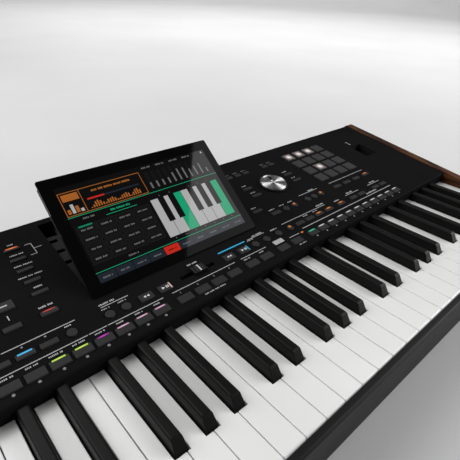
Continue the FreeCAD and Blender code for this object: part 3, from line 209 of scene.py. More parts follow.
def set_inputs(node, **values):
    """Sets inputs by name, each to a value or to the output of another node."""
    for name, value in values.items():
        socket = node.inputs[name.replace("_", " ")]
        if isinstance(value, bpy.types.NodeSocket):
            node.id_data.links.new(value, socket)
        else:
            socket.default_value = value


def coordinates(tree, stretch=(1, 1, 1), kind="Object"):
    source = add(tree, "TexCoord")
    mapping = add(tree, "Mapping")
    set_inputs(mapping, Vector=source.outputs[kind], Scale=stretch)
    return mapping.outputs["Vector"]


def noise(tree, vector, scale, detail=4.0, rough=0.55):
    node = add(tree, "TexNoise")
    set_inputs(node, Vector=vector, Scale=scale, Detail=detail, Roughness=rough)
    return node.outputs["Fac"]


def vector_math(tree, operation, first, second=None):
    node = add(tree, "VectorMath", operation=operation)
    tree.links.new(first, node.inputs[0])
    if second is not None:
        node.inputs[1].default_value = second
    return node.outputs["Vector" if operation == "SUBTRACT" else "Value"]


def ramp(tree, factor, *stops):
    """A colour ramp through (place, colour) stops."""
    node = add(tree, "ValToRGB")
    elements = node.color_ramp.elements
    while len(elements) < len(stops):
        elements.new(0.5)
    for element, (place, colour) in zip(elements, stops):
        element.position = place
        element.color = (*colour, 1)
    set_inputs(node, Fac=factor)
    return node.outputs["Color"]


def tones(tree, factor, dark, light):
    """Two colours over the range of a noise."""
    return ramp(tree, factor, (NOISE_LOW, dark), (NOISE_HIGH, light))


def spread(tree, factor, low, high, start=NOISE_LOW, end=NOISE_HIGH):
    node = add(tree, "MapRange")
    set_inputs(node, Value=factor, From_Min=start, From_Max=end, To_Min=low, To_Max=high)
    return node.outputs["Result"]


def multiply(tree, first, second):
    node = add(tree, "Mix", data_type="RGBA", blend_type="MULTIPLY")
    node.inputs[MIX_FACTOR].default_value = 1.0
    tree.links.new(first, node.inputs[MIX_FIRST])
    tree.links.new(second, node.inputs[MIX_SECOND])
    return node.outputs[MIX_RESULT]


def bump(tree, height, depth):
    node = add(tree, "Bump")
    set_inputs(node, Height=height, Strength=1.0, Distance=depth * MM)
    return node.outputs["Normal"]


def grey(level):
    return (level, level, level)


def tinted(level, warm):
    return (level * (1 + warm), level, level * (1 - warm))


def moulded(name, dark, light, rough, grain, depth, gloss=0.5, stretch=(1, 1, 1), patch=9.0, **inputs):
    """A moulded, painted or metal surface: fine grain, and slow patches of gloss and of colours or greys."""
    material, tree, shader = new_material(name)
    dark, light = (grey(tone) if isinstance(tone, float) else tone for tone in (dark, light))
    vector = coordinates(tree, stretch)
    fine = noise(tree, vector, grain)
    slow = noise(tree, vector, patch, detail=6.0)
    set_inputs(shader, Base_Color=tones(tree, slow, dark, light), Roughness=spread(tree, slow, *rough),
               Normal=bump(tree, fine, depth), Specular_IOR_Level=gloss, **inputs)
    return material


def walnut():
    """Oiled wood with its grain along the plank."""
    material, tree, shader = new_material("walnut")
    vector = coordinates(tree, GRAIN_STRETCH)
    wander = noise(tree, vector, scale=22.0, detail=3.0)
    rings = add(tree, "TexWave", wave_type="BANDS", bands_direction="Z")
    set_inputs(rings, Vector=vector, Scale=26.0, Distortion=9.0, Detail=3.0, Detail_Scale=1.6)
    pores = noise(tree, coordinates(tree, PORE_STRETCH), scale=900.0, detail=2.0)
    bands = ramp(tree, rings.outputs["Fac"], *WOOD_TONES)
    shade = tones(tree, wander, dark=grey(0.55), light=grey(1.0))
    speck = ramp(tree, pores, (PORE.start, grey(0.35)), (PORE.end, grey(1.0)))
    colour = multiply(tree, multiply(tree, bands, shade), speck)
    set_inputs(shader, Base_Color=colour, Roughness=spread(tree, pores, low=0.55, high=0.36),
               Normal=bump(tree, pores, PORE.depth), Specular_IOR_Level=0.12, Coat_Weight=0.03,
               Coat_Roughness=0.3)
    return material


def spun_metal():
    """Turned aluminium: fine grooves round the middle, so that the light gathers in wedges."""
    material, tree, shader = new_material("dial_metal")
    low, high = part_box("dial_cap")
    middle = (low + high) / 2
    source = add(tree, "TexCoord").outputs["Object"]
    shift = vector_math(tree, "SUBTRACT", source, middle)
    grooves = add(tree, "TexNoise", noise_dimensions="1D")
    set_inputs(grooves, W=vector_math(tree, "LENGTH", shift), Scale=5200.0, Detail=2.0)
    metal = tones(tree, noise(tree, shift, scale=60.0), METAL_DARK, METAL_LIGHT)
    # Painted shade: inside the finger dimple the base colour is darkened, fading out towards its rim, to stand for
    # the shade in the hollow
    apart = vector_math(tree, "DISTANCE", source, middle + DIMPLE_PAINTED_SHADE.out * MM * panel.up)
    rim = DIMPLE_PAINTED_SHADE.radius * MM
    reach = spread(tree, apart, low=0.0, high=1.0, start=DIMPLE_PAINTED_SHADE.flat_share * rim, end=rim)
    shade = ramp(tree, reach, (0.0, grey(DIMPLE_PAINTED_SHADE.tone)), (1.0, grey(1.0)))
    gloss = spread(tree, grooves.outputs["Fac"], low=0.42, high=0.52)
    set_inputs(shader, Base_Color=multiply(tree, metal, shade), Roughness=gloss, Tangent=shift, Metallic=1.0,
               Anisotropic=1.0)
    return material


def lamp(name, edge, core, power, soft=LAMP_SOFT):
    """A lit strip or window: brightest in the middle and fading to its edge."""
    material, tree, shader = new_material(name)
    centre = vector_math(tree, "SUBTRACT", coordinates(tree, kind="UV"), UV_MIDDLE)
    reach = vector_math(tree, "LENGTH", centre)
    light = ramp(tree, reach, (0.0, core), (soft, edge))
    unlit = ramp(tree, reach, (0.0, grey(0.03)), (1.0, grey(0.02)))
    set_inputs(shader, Base_Color=unlit, Emission_Color=light, Emission_Strength=power, Roughness=0.35,
               Specular_IOR_Level=0.1)
    return material


def ink(name, dark, light):
    """Silk-screen ink, a little uneven."""
    return moulded(name, dark, light, rough=(0.45, 0.6), grain=3000.0, depth=0.004, gloss=0.3, patch=400.0)


def screen_film(name, low, high):
    """A lit area of the screen under the gloss of the glass, with its fine pixel rows."""
    material, tree, shader = new_material(name)
    rows = add(tree, "TexWave", wave_type="BANDS", bands_direction="X")
    set_inputs(rows, Vector=coordinates(tree), Scale=700.0)
    light = ramp(tree, rows.outputs["Fac"], (0.0, low), (1.0, high))
    smear = noise(tree, coordinates(tree), scale=30.0)
    unlit = tones(tree, smear, dark=grey(0.0010), light=grey(0.0018))
    set_inputs(shader, Base_Color=unlit, Roughness=spread(tree, smear, low=0.03, high=0.06),
               Emission_Color=light, Emission_Strength=1.0, IOR=1.42)
    return material


def finish(*values, **more):
    return values, more


# Finishes: dark and light tone, the range of roughness, the scale and depth of the grain, then what differs
BRUSHED = dict(stretch=(0.05, 1, 1), Metallic=1.0)
FINISHES = {
    "panel_black": finish(0.0068, 0.0086, (0.46, 0.54), 2600.0, 0.006, gloss=0.004),
    "case_black": finish(0.004, 0.006, (0.5, 0.6), 1800.0, 0.03, gloss=0.18),
    "key_white": finish((0.76, 0.76, 0.75), (0.80, 0.80, 0.79), (0.26, 0.34), 420.0, 0.004, patch=14.0,
                        Coat_Weight=0.25, Coat_Roughness=0.12),
    "key_black": finish(tinted(0.0045, 0.05), tinted(0.0065, 0.05), (0.36, 0.44), 2200.0, 0.012, gloss=0.09),
    "button_grey": finish(0.025, 0.032, (0.48, 0.56), 2400.0, 0.012, gloss=0.06),
    "pad_grey": finish(0.034, 0.042, (0.6, 0.7), 1500.0, 0.02, gloss=0.06),
    "display_glass": finish(0.0015, 0.0025, (0.03, 0.06), 20.0, 0.0005, gloss=0.09, patch=30.0),
    "display_case": finish(0.010, 0.014, (0.48, 0.58), 1700.0, 0.03, gloss=0.4),
    "screen": finish((0.012, 0.016, 0.022), (0.02, 0.026, 0.034), (0.2, 0.3), 800.0, 0.004),
    "knob_black": finish(0.006, 0.009, (0.36, 0.45), 1900.0, 0.012, gloss=0.16),
    "steel": finish(0.48, 0.58, (0.24, 0.34), 900.0, 0.006, **BRUSHED),
    "frame_metal": finish(0.40, 0.50, (0.34, 0.46), 700.0, 0.008, **BRUSHED),
    "rubber": finish(0.014, 0.022, (0.72, 0.85), 1300.0, 0.03, gloss=0.3),
    "felt": finish((0.20, 0.02, 0.02), (0.30, 0.04, 0.035), (0.85, 0.95), 2500.0, 0.12, Sheen_Weight=0.5),
    "circuit_board": finish((0.01, 0.075, 0.03), (0.018, 0.11, 0.045), (0.3, 0.42), 500.0, 0.02, patch=90.0),
    "socket_black": finish(0.010, 0.015, (0.36, 0.46), 2000.0, 0.01, gloss=0.45),
    "socket_metal": finish((0.60, 0.60, 0.62), (0.70, 0.70, 0.71), (0.18, 0.28), 1200.0, 0.005, Metallic=1.0),
    "port_blue": finish((0.006, 0.016, 0.10), (0.009, 0.024, 0.14), (0.4, 0.5), 900.0, 0.01),
    "floor": finish(0.60, 0.64, (0.7, 0.8), 60.0, 0.2, gloss=0.2, patch=2.0),
}

# Rounded edges of the CAD pieces: width in millimetres by material slot
EDGE_WIDTHS = {
    "key_white": 0.7, "key_black": 0.5, "button_grey": 0.45, "pad_grey": 0.6, "walnut": 0.8,
    "case_black": 0.6, "knob_black": 0.4, "socket_black": 0.3, "display_case": 0.8,
}
EDGE_ANGLE = math.radians(25)
EDGE_SEGMENTS = 2
EDGE_WELD = 0.002 * MM
FLAT_ANGLE = math.radians(0.5)


def round_edges(node, width):
    weld = node.modifiers.new("weld", "WELD")
    weld.merge_threshold = EDGE_WELD
    flat = node.modifiers.new("flat", "DECIMATE")
    flat.decimate_type = "DISSOLVE"
    flat.angle_limit = FLAT_ANGLE
    edge = node.modifiers.new("edge", "BEVEL")
    edge.width = width
    edge.segments = EDGE_SEGMENTS
    edge.limit_method = "ANGLE"
    edge.angle_limit = EDGE_ANGLE
    node.modifiers.new("normals", "WEIGHTED_NORMAL")


def dress_cad():
    finishes = {name: moulded(name, *values, **more) for name, (values, more) in FINISHES.items()}
    finishes["walnut"] = walnut()
    finishes["dial_metal"] = spun_metal()
    for name, node in nodes.items():
        slot = slots[name]
        node.data.materials.clear()
        node.data.materials.append(finishes[slot])
        if slot in EDGE_WIDTHS:
            round_edges(node, EDGE_WIDTHS[slot] * MM)
    return finishes


def link_object(name, data):
    made = bpy.data.objects.new(name, data)
    bpy.context.scene.collection.objects.link(made)
    return made


def mesh_object(name, mesh, material):
    data = bpy.data.meshes.new(name)
    mesh.to_mesh(data)
    mesh.free()
    data.materials.append(material)
    return link_object(name, data)


def make_piece(name, mesh, body, material):
    piece = mesh_object(name, mesh, material)
    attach(piece, body)


# Thin closed shapes on a surface, gathered into one piece for each finish
class Inlay:
    def __init__(self, name, body, slot, material, surface=panel, low=FILM_LOW, high=FILM_HIGH):
        self.name, self.body, self.slot, self.material = name, body, slot, material
        self.surface, self.low, self.high = surface, low, high
        self.mesh = bmesh.new()
        self.uv = self.mesh.loops.layers.uv.new("uv")

    def prism(self, points, low=None, high=None):
        """An outline drawn out between two heights; the UV runs over its box."""
        low = self.low if low is None else low
        high = self.high if high is None else high
        us, vs = zip(*points)
        u0, v0, u1, v1 = min(us), min(vs), max(us), max(vs)
        rings = [[self.mesh.verts.new(self.surface.point(u, v, w)) for u, v in points] for w in (low, high)]
        faces = [self.mesh.faces.new(rings[1]), self.mesh.faces.new(rings[0][::-1])]
        count = len(points)
        for i in range(count):
            j = (i + 1) % count
            faces.append(self.mesh.faces.new((rings[0][i], rings[0][j], rings[1][j], rings[1][i])))
        for face in faces:
            for loop in face.loops:
                u, v, _ = self.surface.local(loop.vert.co)
                loop[self.uv].uv = ((u - u0) / (u1 - u0), (v - v0) / (v1 - v0))

    def rect(self, u0, v0, u1, v1, **heights):
        self.prism([(u0, v0), (u1, v0), (u1, v1), (u0, v1)], **heights)

    def rounded(self, u0, v0, u1, v1, radius):
        points = []
        for cu, cv, start in ((u1, v1, 0), (u0, v1, 90), (u0, v0, 180), (u1, v0, 270)):
            cu += -radius if cu == u1 else radius
            cv += -radius if cv == v1 else radius
            for turn in CORNER_TURNS:
                angle = math.radians(start + turn)
                points.append((cu + radius * math.cos(angle), cv + radius * math.sin(angle)))
        self.prism(points)

    def plate(self, u, v, size):
        self.rounded(u + size.left, v + size.low, u + size.right, v + size.high, size.radius)

    def field(self, u, v, half_u, half_v, radius):
        self.rounded(u - half_u, v - half_v, u + half_u, v + half_v, radius)

    def bar(self, u, v, length, height, **heights):
        self.rect(u - length / 2, v - height / 2, u + length / 2, v + height / 2, **heights)

    def line(self, u0, u1, v, width=LINE_WIDTH):
        self.rect(u0, v - width / 2, u1, v + width / 2)

    def upright(self, u, v0, v1, width):
        self.rect(u - width / 2, v0, u + width / 2, v1)

    def disc(self, u, v, radius, sides=DISC_SIDES):
        turns = [2 * math.pi * i / sides for i in range(sides)]
        self.prism([(u + radius * math.cos(turn), v + radius * math.sin(turn)) for turn in turns])

    def arrow(self, u, v, size, way=1):
        """A small triangle that points along u."""
        half = size / 2
        points = [(u - way * half, v - half), (u + way * half, v), (u - way * half, v + half)]
        self.prism(points if way > 0 else points[::-1])

    def words(self, u, v, length, draw, height=LETTER_HEIGHT):
        """A caption of plain marks, no lettering, centred on a place."""
        marks, at = [], 0.0
        while at < length:
            for _ in range(draw.randint(*WORD_LETTERS)):
                width = draw.uniform(*LETTER_WIDTHS) * height / LETTER_HEIGHT
                if at + width > length:
                    break
                marks.append((at, width, draw.choice(LETTER_SHARES)))
                at += width + LETTER_GAP
            at += WORD_GAP
        if not marks:
            return
        span = marks[-1][0] + marks[-1][1]
        for start, width, share in marks:
            left = u - span / 2 + start
            self.rect(left, v - height / 2, left + width, v - height / 2 + height * share)

    def text(self, u, v, string, size):
        """A numeral in the built-in font."""
        curve = bpy.data.curves.new("numeral", "FONT")
        curve.body = string
        curve.size = size
        curve.align_x, curve.align_y = "CENTER", "CENTER"
        curve.extrude = (self.high - self.low) / 2
        holder = bpy.data.objects.new("numeral", curve)
        mesh = bpy.data.meshes.new_from_object(holder)
        middle = (self.high + self.low) / 2
        before = len(self.mesh.verts)
        self.mesh.from_mesh(mesh)
        self.mesh.verts.ensure_lookup_table()
        for vertex in self.mesh.verts[before:]:
            x, y, z = vertex.co
            vertex.co = self.surface.point(u + x, v + y, middle + z)
        bpy.data.objects.remove(holder)
        bpy.data.curves.remove(curve)
        bpy.data.meshes.remove(mesh)

    def build(self):
        bmesh.ops.remove_doubles(self.mesh, verts=self.mesh.verts, dist=FILM_WELD)
        bmesh.ops.recalc_face_normals(self.mesh, faces=self.mesh.faces)
        make_piece(self.name, self.mesh, self.body, self.material)


# Caps of the panel
style = spots("style_buttons")
keyset = spots("keyset_buttons")
tone = spots("tone_buttons")
square = spots("transport_buttons")
function = spots("function_buttons")
page = spots("page_buttons")
menu = spots("menu_buttons")
rounds = spots("round_buttons")
pads = spots("trigger_pads")
sliders = spots("slider_caps")
fader = spots("crossfader_cap")[0]
knob = spots("volume_knob")[0]
front_v, second_v, third_v = style[0].v, function[0].v, page[0].v
second_left = [cap for cap in function if cap.u < fader.u]
second_right = [cap for cap in function if cap.u > fader.u]
round_second = in_row(rounds, second_v)
round_third = in_row(rounds, third_v)
page_row = in_row(page, third_v)
entry = page[-1]
# Slim caps: the column left of the display and the bank beyond it, then those right of the display
menu_left = [cap for cap in menu if cap.u < 0]
menu_right = [cap for cap in menu if cap.u > 0]
column_u = max(cap.u for cap in menu_left)
column = sorted((cap for cap in menu_left if column_u - cap.u < ROW_STEP), key=lambda cap: cap.v)
bank = [cap for cap in menu_left if cap not in column]
side = min(menu_right, key=lambda cap: cap.u)
top_row = in_row(menu_right, max(cap.v for cap in menu_right))
beside_dial = [cap for cap in menu_right if cap is not side and cap not in top_row]


def between(first, last):
    return (first.u + last.u) / 2


# Panel printing: lines that reach before one cap and after another, and captions, lifted over their row
Rule = namedtuple("Rule", "first last before after lift width", defaults=(LINE_WIDTH,))
Caption = namedtuple("Caption", "u lift length height shift", defaults=(LETTER_HEIGHT, 0.0))
FRONT_LIFT = 12.2
STYLE_GROUPS = ((0, 3), (4, 7), (8, 9), (11, 13))
STYLE_REACH = 9.5
STYLE_LONG = 10
VOICE_GAP = 4.6
DOT = Sizes(drop=6.5, radius=1.25)
NUMERAL = Sizes(count=4, gap=4.2, size=3.0)
FRONT_RULES = (
    *(Rule(style[i], style[j], STYLE_REACH, STYLE_REACH, FRONT_LIFT) for i, j in STYLE_GROUPS),
    Rule(style[10], style[10], 8.0, 8.0, FRONT_LIFT),
    Rule(keyset[0], keyset[3], 7.0, 11.0, FRONT_LIFT),
    Rule(keyset[4], keyset[5], 6.0, 10.5, FRONT_LIFT),
    Rule(keyset[7], keyset[7], 4.0, 13.0, 8.7),
    Rule(tone[0], tone[-1], 5.5, 5.5, 12.6, width=1.0),
)
FRONT_CAPTIONS = (
    Caption(between(keyset[1], keyset[2]), -DOT.drop, 26.0),
    *(Caption(cap.u, cap.dv + VOICE_GAP, 9.0) for cap in keyset[4:6]),
    Caption(keyset[7].u, -DOT.drop, 12.0, shift=3.0),
    Caption(tone[8].u, 17.2, 26.0, 2.2),
)
# The white label over the front row, from its cap
LABEL = Sizes(left=-4.5, right=10.5, low=8.0, high=14.4, radius=1.0)
SMALL_DOT = Sizes(lift=8.8, radius=0.9, sides=12)
SECOND_RULES = (
    Rule(second_left[5], round_second[0], -4.0, 7.5, 11.5),
    Rule(round_second[1], round_second[2], 3.0, 8.0, 11.4),
    Rule(round_second[3], round_second[4], 3.0, 6.0, 11.0),
    Rule(round_second[6], second_right[3], 4.0, 4.0, 10.5),
    Rule(second_right[5], second_right[6], 7.0, 5.0, 9.0),
    Rule(second_right[7], second_right[8], 7.0, 4.0, 9.0),
)
SECOND_LEFT_CAPTIONS = (
    Caption(round_second[0].u, 8.8, 8.0),
    Caption(between(round_second[1], round_second[2]), 14.4, 16.0, 1.9, shift=-4.0),
    *(Caption(cap.u, 8.4, 9.0, 1.2) for cap in round_second[1:3]),
)
SECOND_RIGHT_CAPTIONS = (
    Caption(round_second[3].u, 9.5, 9.0),
    Caption(round_second[4].u, 13.0, 17.0, 1.9, shift=-4.0),
    Caption(round_second[5].u, 9.0, 11.0, 1.9),
    *(Caption(cap.u, 7.6, 10.0) for cap in second_right[1:3]),
    Caption(second_right[3].u, 14.0, 16.0, 2.2, shift=-3.0),
    Caption(second_right[4].u, 8.0, 12.0, 1.9),
    Caption(second_right[5].u, 12.0, 16.0, 2.4, shift=6.0),
    Caption(second_right[7].u, 12.0, 14.0, 2.2, shift=8.0),
)
THIRD_RULES = (
    Rule(round_third[2], round_third[4], 5.0, 6.0, 12.0),
    Rule(page_row[3], page_row[6], 5.0, 8.0, 11.5),
)
THIRD_CAPTIONS = (
    Caption(round_third[0].u, 9.0, 10.0),
    Caption(round_third[1].u, 9.0, 8.0),
    Caption(round_third[3].u, 14.0, 12.0, 2.2, shift=8.0),
)
# The mark on the entry cap and the stroke in front of it
ENTRY_MARK = Sizes(shift=1.5, length=8.0, width=1.6)
ENTRY_STROKE = Sizes(shift=1.7, drop=13.5, length=5.7, width=0.9)
# Captions of the column of slim caps, and the bracket beside its last two
COLUMN_CAPTIONS = (7.7, 22.0, 18.0, 13.0, 7.7)
COLUMN = Sizes(shift=1.0, lift=8.5, height=1.7)
BRACKET = Sizes(shift=12.0, lift=1.0, arm=6.2, reach=14.0, tall=17.4, width=0.7)
# Scales of the sliders and of the knob
SCALE_STEPS = 10
TICK = Sizes(length=4.5, short_share=0.6, long_every=5, gap=1.2, width=0.4)
SLIDER_CAPTION = Sizes(lift=9.0, length=10.0)
KNOB_DOT = Sizes(gap=2.5, radius=0.6)
# The arrow at the port: its place from the pocket's middle, its stem and its head
PORT_MARK = Sizes(shift=5.0, lift=26.0, stem=7.0, stroke=0.9, bar_half=2.2, head_half=1.9, head_length=2.6)


def print_panel():
    draw = random.Random(SEED)
    white = Inlay("panel_print", "body", "panel_black", ink("print_white", 0.34, 0.42))
    faint = Inlay("panel_print_grey", "body", "panel_black", ink("print_grey", 0.15, 0.20))
    dots = Inlay("panel_dots", "body", "panel_black", ink("dot_grey", 0.17, 0.22))

    def over(caps, length, gap, piece=white, height=LETTER_HEIGHT):
        for cap in caps:
            piece.words(cap.u, cap.v + cap.dv + gap, length, draw, height)

    def captions(row_v, chosen):
        for item in chosen:
            white.words(item.u + item.shift, row_v + item.lift, item.length, draw, item.height)

    def rules(row_v, chosen):
        for rule in chosen:
            white.line(rule.first.u - rule.before, rule.last.u + rule.after, row_v + rule.lift, rule.width)

    over(style[:STYLE_LONG], length=11.0, gap=4.9)
    over(style[STYLE_LONG:], length=9.0, gap=4.9)
    rules(front_v, FRONT_RULES)
    captions(front_v, FRONT_CAPTIONS)
    for cap in style + tone:
        dots.disc(cap.u, front_v - DOT.drop, DOT.radius)
    for number, cap in enumerate(keyset[:NUMERAL.count], 1):
        white.text(cap.u, cap.v + cap.dv + NUMERAL.gap, str(number), NUMERAL.size)
    white.plate(keyset[6].u, front_v, LABEL)

    for cap in second_left:
        dots.disc(cap.u, second_v + SMALL_DOT.lift, SMALL_DOT.radius, SMALL_DOT.sides)
    rules(second_v, SECOND_RULES)
    captions(second_v, SECOND_LEFT_CAPTIONS)
    over([fader], length=13.0, gap=6.9, height=1.9)
    captions(second_v, SECOND_RIGHT_CAPTIONS)

    over(page_row[1:2], length=14.0, gap=6.2, height=2.0)
    over(page_row[2:3], length=10.0, gap=5.6)
    rules(third_v, THIRD_RULES)
    captions(third_v, THIRD_CAPTIONS)
    white.bar(entry.u + ENTRY_MARK.shift, entry.v, ENTRY_MARK.length, ENTRY_MARK.width,
              low=entry.top + FILM_LOW, high=entry.top + FILM_HIGH)
    white.bar(entry.u + ENTRY_STROKE.shift, entry.v - ENTRY_STROKE.drop, ENTRY_STROKE.width,
              ENTRY_STROKE.length)
    for cap, length in zip(column, COLUMN_CAPTIONS):
        white.words(cap.u + COLUMN.shift, cap.v + COLUMN.lift, length, draw, COLUMN.height)
    over(bank + beside_dial + [side], length=9.0, gap=5.6)
    over(top_row, length=8.0, gap=4.4, piece=faint, height=1.3)
    print_bracket(white)
    print_scales(white, faint, draw)
    over([knob], length=12.0, gap=6.5)
    print_port_mark(white)
    for piece in (white, faint, dots):
        piece.build()


def print_bracket(piece):
    left, low = column[-1].u + BRACKET.shift, column[-2].v + BRACKET.lift
    right, high = left + BRACKET.arm, low + BRACKET.tall
    for v in (high, low):
        piece.line(left, right, v, BRACKET.width)
    piece.upright(right, low, high, BRACKET.width)
    piece.line(right, left + BRACKET.reach, (low + high) / 2, BRACKET.width)


def print_scales(white, faint, draw):
    """Ticks beside the sliders and dots round the knob, over what their joints can travel."""
    travel = joints["slider_slide"]["range_m"][1] / MM
    for cap in sliders:
        for i in range(SCALE_STEPS + 1):
            v = cap.v - travel + 2 * travel * i / SCALE_STEPS
            length = TICK.length * (TICK.short_share if i % TICK.long_every else 1.0)
            for way in (-1, 1):
                edge = cap.u + way * (cap.du + TICK.gap)
                faint.line(*sorted((edge, edge + way * length)), v, TICK.width)
        white.words(cap.u, cap.v + travel + SLIDER_CAPTION.lift, SLIDER_CAPTION.length, draw)
    first, last = (math.radians(turn) for turn in joints["volume_turn"]["range_deg"])
    reach = knob.du + KNOB_DOT.gap
    for i in range(SCALE_STEPS + 1):
        turn = first + (last - first) * i / SCALE_STEPS
        u, v = knob.u + reach * math.sin(turn), knob.v + reach * math.cos(turn)
        faint.disc(u, v, KNOB_DOT.radius, DOT_SIDES)


def print_port_mark(piece):
    mark = PORT_MARK
    low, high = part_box("usb_pocket")
    u, v, _ = panel.local((low + high) / 2)
    u -= mark.shift
    v += mark.lift
    piece.upright(u, v, v + mark.stem, mark.stroke)
    piece.line(u - mark.bar_half, u + mark.bar_half, v + mark.stem, mark.stroke)
    piece.prism([(u - mark.head_half, v), (u, v - mark.head_length), (u + mark.head_half, v)])


# Lamps: colour at the edge and in the middle, and power
YELLOW = ((0.33, 0.58, 0.02), (0.64, 0.74, 0.14), 1.0)
MAGENTA = ((0.07, 0.004, 0.07), (0.80, 0.012, 0.76), 1.0)
PINK = ((0.42, 0.20, 0.32), (0.76, 0.50, 0.62), 1.0)
GREEN = ((0.02, 0.25, 0.08), (0.08, 0.62, 0.24), 1.0)
SEA_GREEN = ((0.005, 0.22, 0.12), (0.02, 0.60, 0.33), 1.0)
WHITE = (grey(0.30), grey(0.82), 0.9)
ORANGE = ((0.24, 0.026, 0.002), (0.90, 0.30, 0.012), 1.0)
CYAN = ((0.03, 0.38, 0.72), (0.05, 0.48, 0.82), 1.0)
RED = ((0.10, 0.004, 0.003), (0.84, 0.022, 0.014), 1.0)
RED_ORANGE = ((0.60, 0.022, 0.006), (0.80, 0.36, 0.014), 1.0)
PAD_LIGHT = ((0.13, 0.095, 0.095), (1.0, 0.95, 0.93), 1.0)
ICON_WHITE = (grey(0.5), grey(0.8), 0.9)
BAR_PINK = ((0.55, 0.36, 0.33), (0.80, 0.62, 0.58), 1.0)
BAR_CYAN = ((0.02, 0.30, 0.50), (0.03, 0.46, 0.72), 1.0)
LINE_CYAN = ((0.012, 0.36, 0.62), (0.018, 0.42, 0.70), 1.0)

# Lit strips: body, colours, caps, length and width, and place towards the back as a share of the half cap
STYLE_STRIP = (10.8, 1.6, 0.80)
SHORT_STRIP = (9.0, 2.2, 0.5)
STRIPS = {
    "lamp_style_yellow": ("style_buttons", YELLOW, style[8:10], *STYLE_STRIP),
    "lamp_style_magenta": ("style_buttons", MAGENTA, style[10:11], *STYLE_STRIP),
    "lamp_style_pink": ("style_buttons", PINK, style[11:], *STYLE_STRIP),
    "lamp_style_green": ("style_buttons", GREEN, style[2:4], *STYLE_STRIP),
    "lamp_tone_green": ("tone_buttons", SEA_GREEN, tone[:1], 11.0, 2.2, 0.70),
    "lamp_tone_white": ("tone_buttons", WHITE, tone[1:], 10.6, 1.8, 0.74),
    "lamp_function_orange": ("function_buttons", ORANGE, second_right[2:5], *SHORT_STRIP),
    "lamp_function_cyan": ("function_buttons", CYAN, second_left[6:7], 11.2, 1.6, 0.66),
    "lamp_page_red": ("page_buttons", RED, page_row[1:2], 11.0, 1.6, 0.66),
    "lamp_page_orange": ("page_buttons", ORANGE, page_row[6:7], *SHORT_STRIP),
    "lamp_menu_orange": ("menu_buttons", RED_ORANGE, column[-1:], 11.0, 1.6, 0.55),
}
ROUND_LAMP = Sizes(radius=2.0, place=0.3)
PAD_LAMP = Sizes(edge=1.2, radius=1.0, soft=0.42)
# Symbols and lit bars of the square caps
BACK_ICON = Sizes(shift=1.7, size=2.8)
PLAY_ICON = Sizes(shift=2.0, size=3.2, bar_shifts=(1.4, 3.2), bar_width=1.1)
LIT_BAR = Sizes(inset=1.5, width=1.3, length=7.6)
# Lamps in the panel: a line over two square caps and a window left of the tone caps
CYAN_LINE = Sizes(before=6.5, after=11.0, lift=11.0, width=1.5)
AMBER = Sizes(left=-14.0, right=-9.6, low=6.8, high=9.2, radius=1.0)


def cap_inlay(name, body, material, top, slot="button_grey"):
    return Inlay(name, body, slot, material, low=top + CAP_FILM_LOW, high=top + CAP_FILM_HIGH)


def light_buttons():
    """Lamps on the caps: strips along the back edge of the wide caps, windows in the small ones."""
    for name, (body, colours, caps, length, width, place) in STRIPS.items():
        piece = cap_inlay(name, body, lamp(name, *colours), caps[0].top)
        for cap in caps:
            piece.bar(cap.u, cap.v + place * cap.dv, length, width)
        piece.build()
    piece = cap_inlay("lamp_round_orange", "round_buttons", lamp("lamp_round_orange", *ORANGE), rounds[0].top)
    for cap in (round_second[6], round_third[1], round_third[4]):
        piece.disc(cap.u, cap.v + ROUND_LAMP.place * cap.dv, ROUND_LAMP.radius)
    piece.build()
    material = lamp("lamp_pad", *PAD_LIGHT, PAD_LAMP.soft)
    piece = cap_inlay("lamp_pads", "pads", material, pads[0].top, "pad_grey")
    for cap in pads[12:15] + pads[5:6]:
        piece.field(cap.u, cap.v, cap.du - PAD_LAMP.edge, cap.dv - PAD_LAMP.edge, PAD_LAMP.radius)
    piece.build()
    light_transport()
    cyan = Inlay("lamp_panel_cyan", "body", "panel_black", lamp("lamp_panel_cyan", *LINE_CYAN))
    start, end = square[2].u - CYAN_LINE.before, square[3].u + CYAN_LINE.after
    cyan.line(start, end, square[2].v + CYAN_LINE.lift, CYAN_LINE.width)
    cyan.build()
    amber = Inlay("lamp_panel_amber", "body", "panel_black", lamp("lamp_panel_amber", *ORANGE))
    amber.plate(tone[0].u, tone[0].v, AMBER)
    amber.build()


def light_transport():
    top = square[0].top
    material = lamp("lamp_white", *ICON_WHITE)
    icons = cap_inlay("transport_icons", "transport_buttons", material, top)
    for cap in (square[0], square[2]):
        for way in (-1, 1):
            icons.arrow(cap.u + way * BACK_ICON.shift, cap.v, BACK_ICON.size, -1)
    for cap in (square[1], square[3]):
        icons.arrow(cap.u - PLAY_ICON.shift, cap.v, PLAY_ICON.size)
        for shift in PLAY_ICON.bar_shifts:
            icons.bar(cap.u + shift, cap.v, PLAY_ICON.bar_width, PLAY_ICON.size)
    icons.build()
    bars = (("lamp_bar_pink", BAR_PINK, square[1]), ("lamp_bar_cyan", BAR_CYAN, square[3]))
    for name, colours, cap in bars:
        piece = cap_inlay(name, "transport_buttons", lamp(name, *colours), top)
        piece.bar(cap.u + cap.du - LIT_BAR.inset, cap.v, LIT_BAR.width, LIT_BAR.length)
        piece.build()


# Index lines of the crossfader and the sliders: width, and length as a share of the half cap
FADER_INDEX = Sizes(width=1.3, share=1.8)
SLIDER_INDEX = Sizes(width=1.0, share=1.7)
INDEX_DEPTH = 0.9


def mark_fader():
    """The white index line over the crossfader's cap and the sliders' caps."""
    for node, body in (("crossfader_cap", "crossfader"), ("slider_caps", "sliders")):
        white = ink(node + "_line", 0.55, 0.68)
        caps = spots(node)
        piece = cap_inlay(node + "_line", body, white, caps[0].top, "knob_black")
        for cap in caps:
            size = (FADER_INDEX.width, cap.dv * FADER_INDEX.share)
            if body == "sliders":
                size = (cap.du * SLIDER_INDEX.share, SLIDER_INDEX.width)
            piece.bar(cap.u, cap.v, *size, low=cap.top - INDEX_DEPTH)
        piece.build()


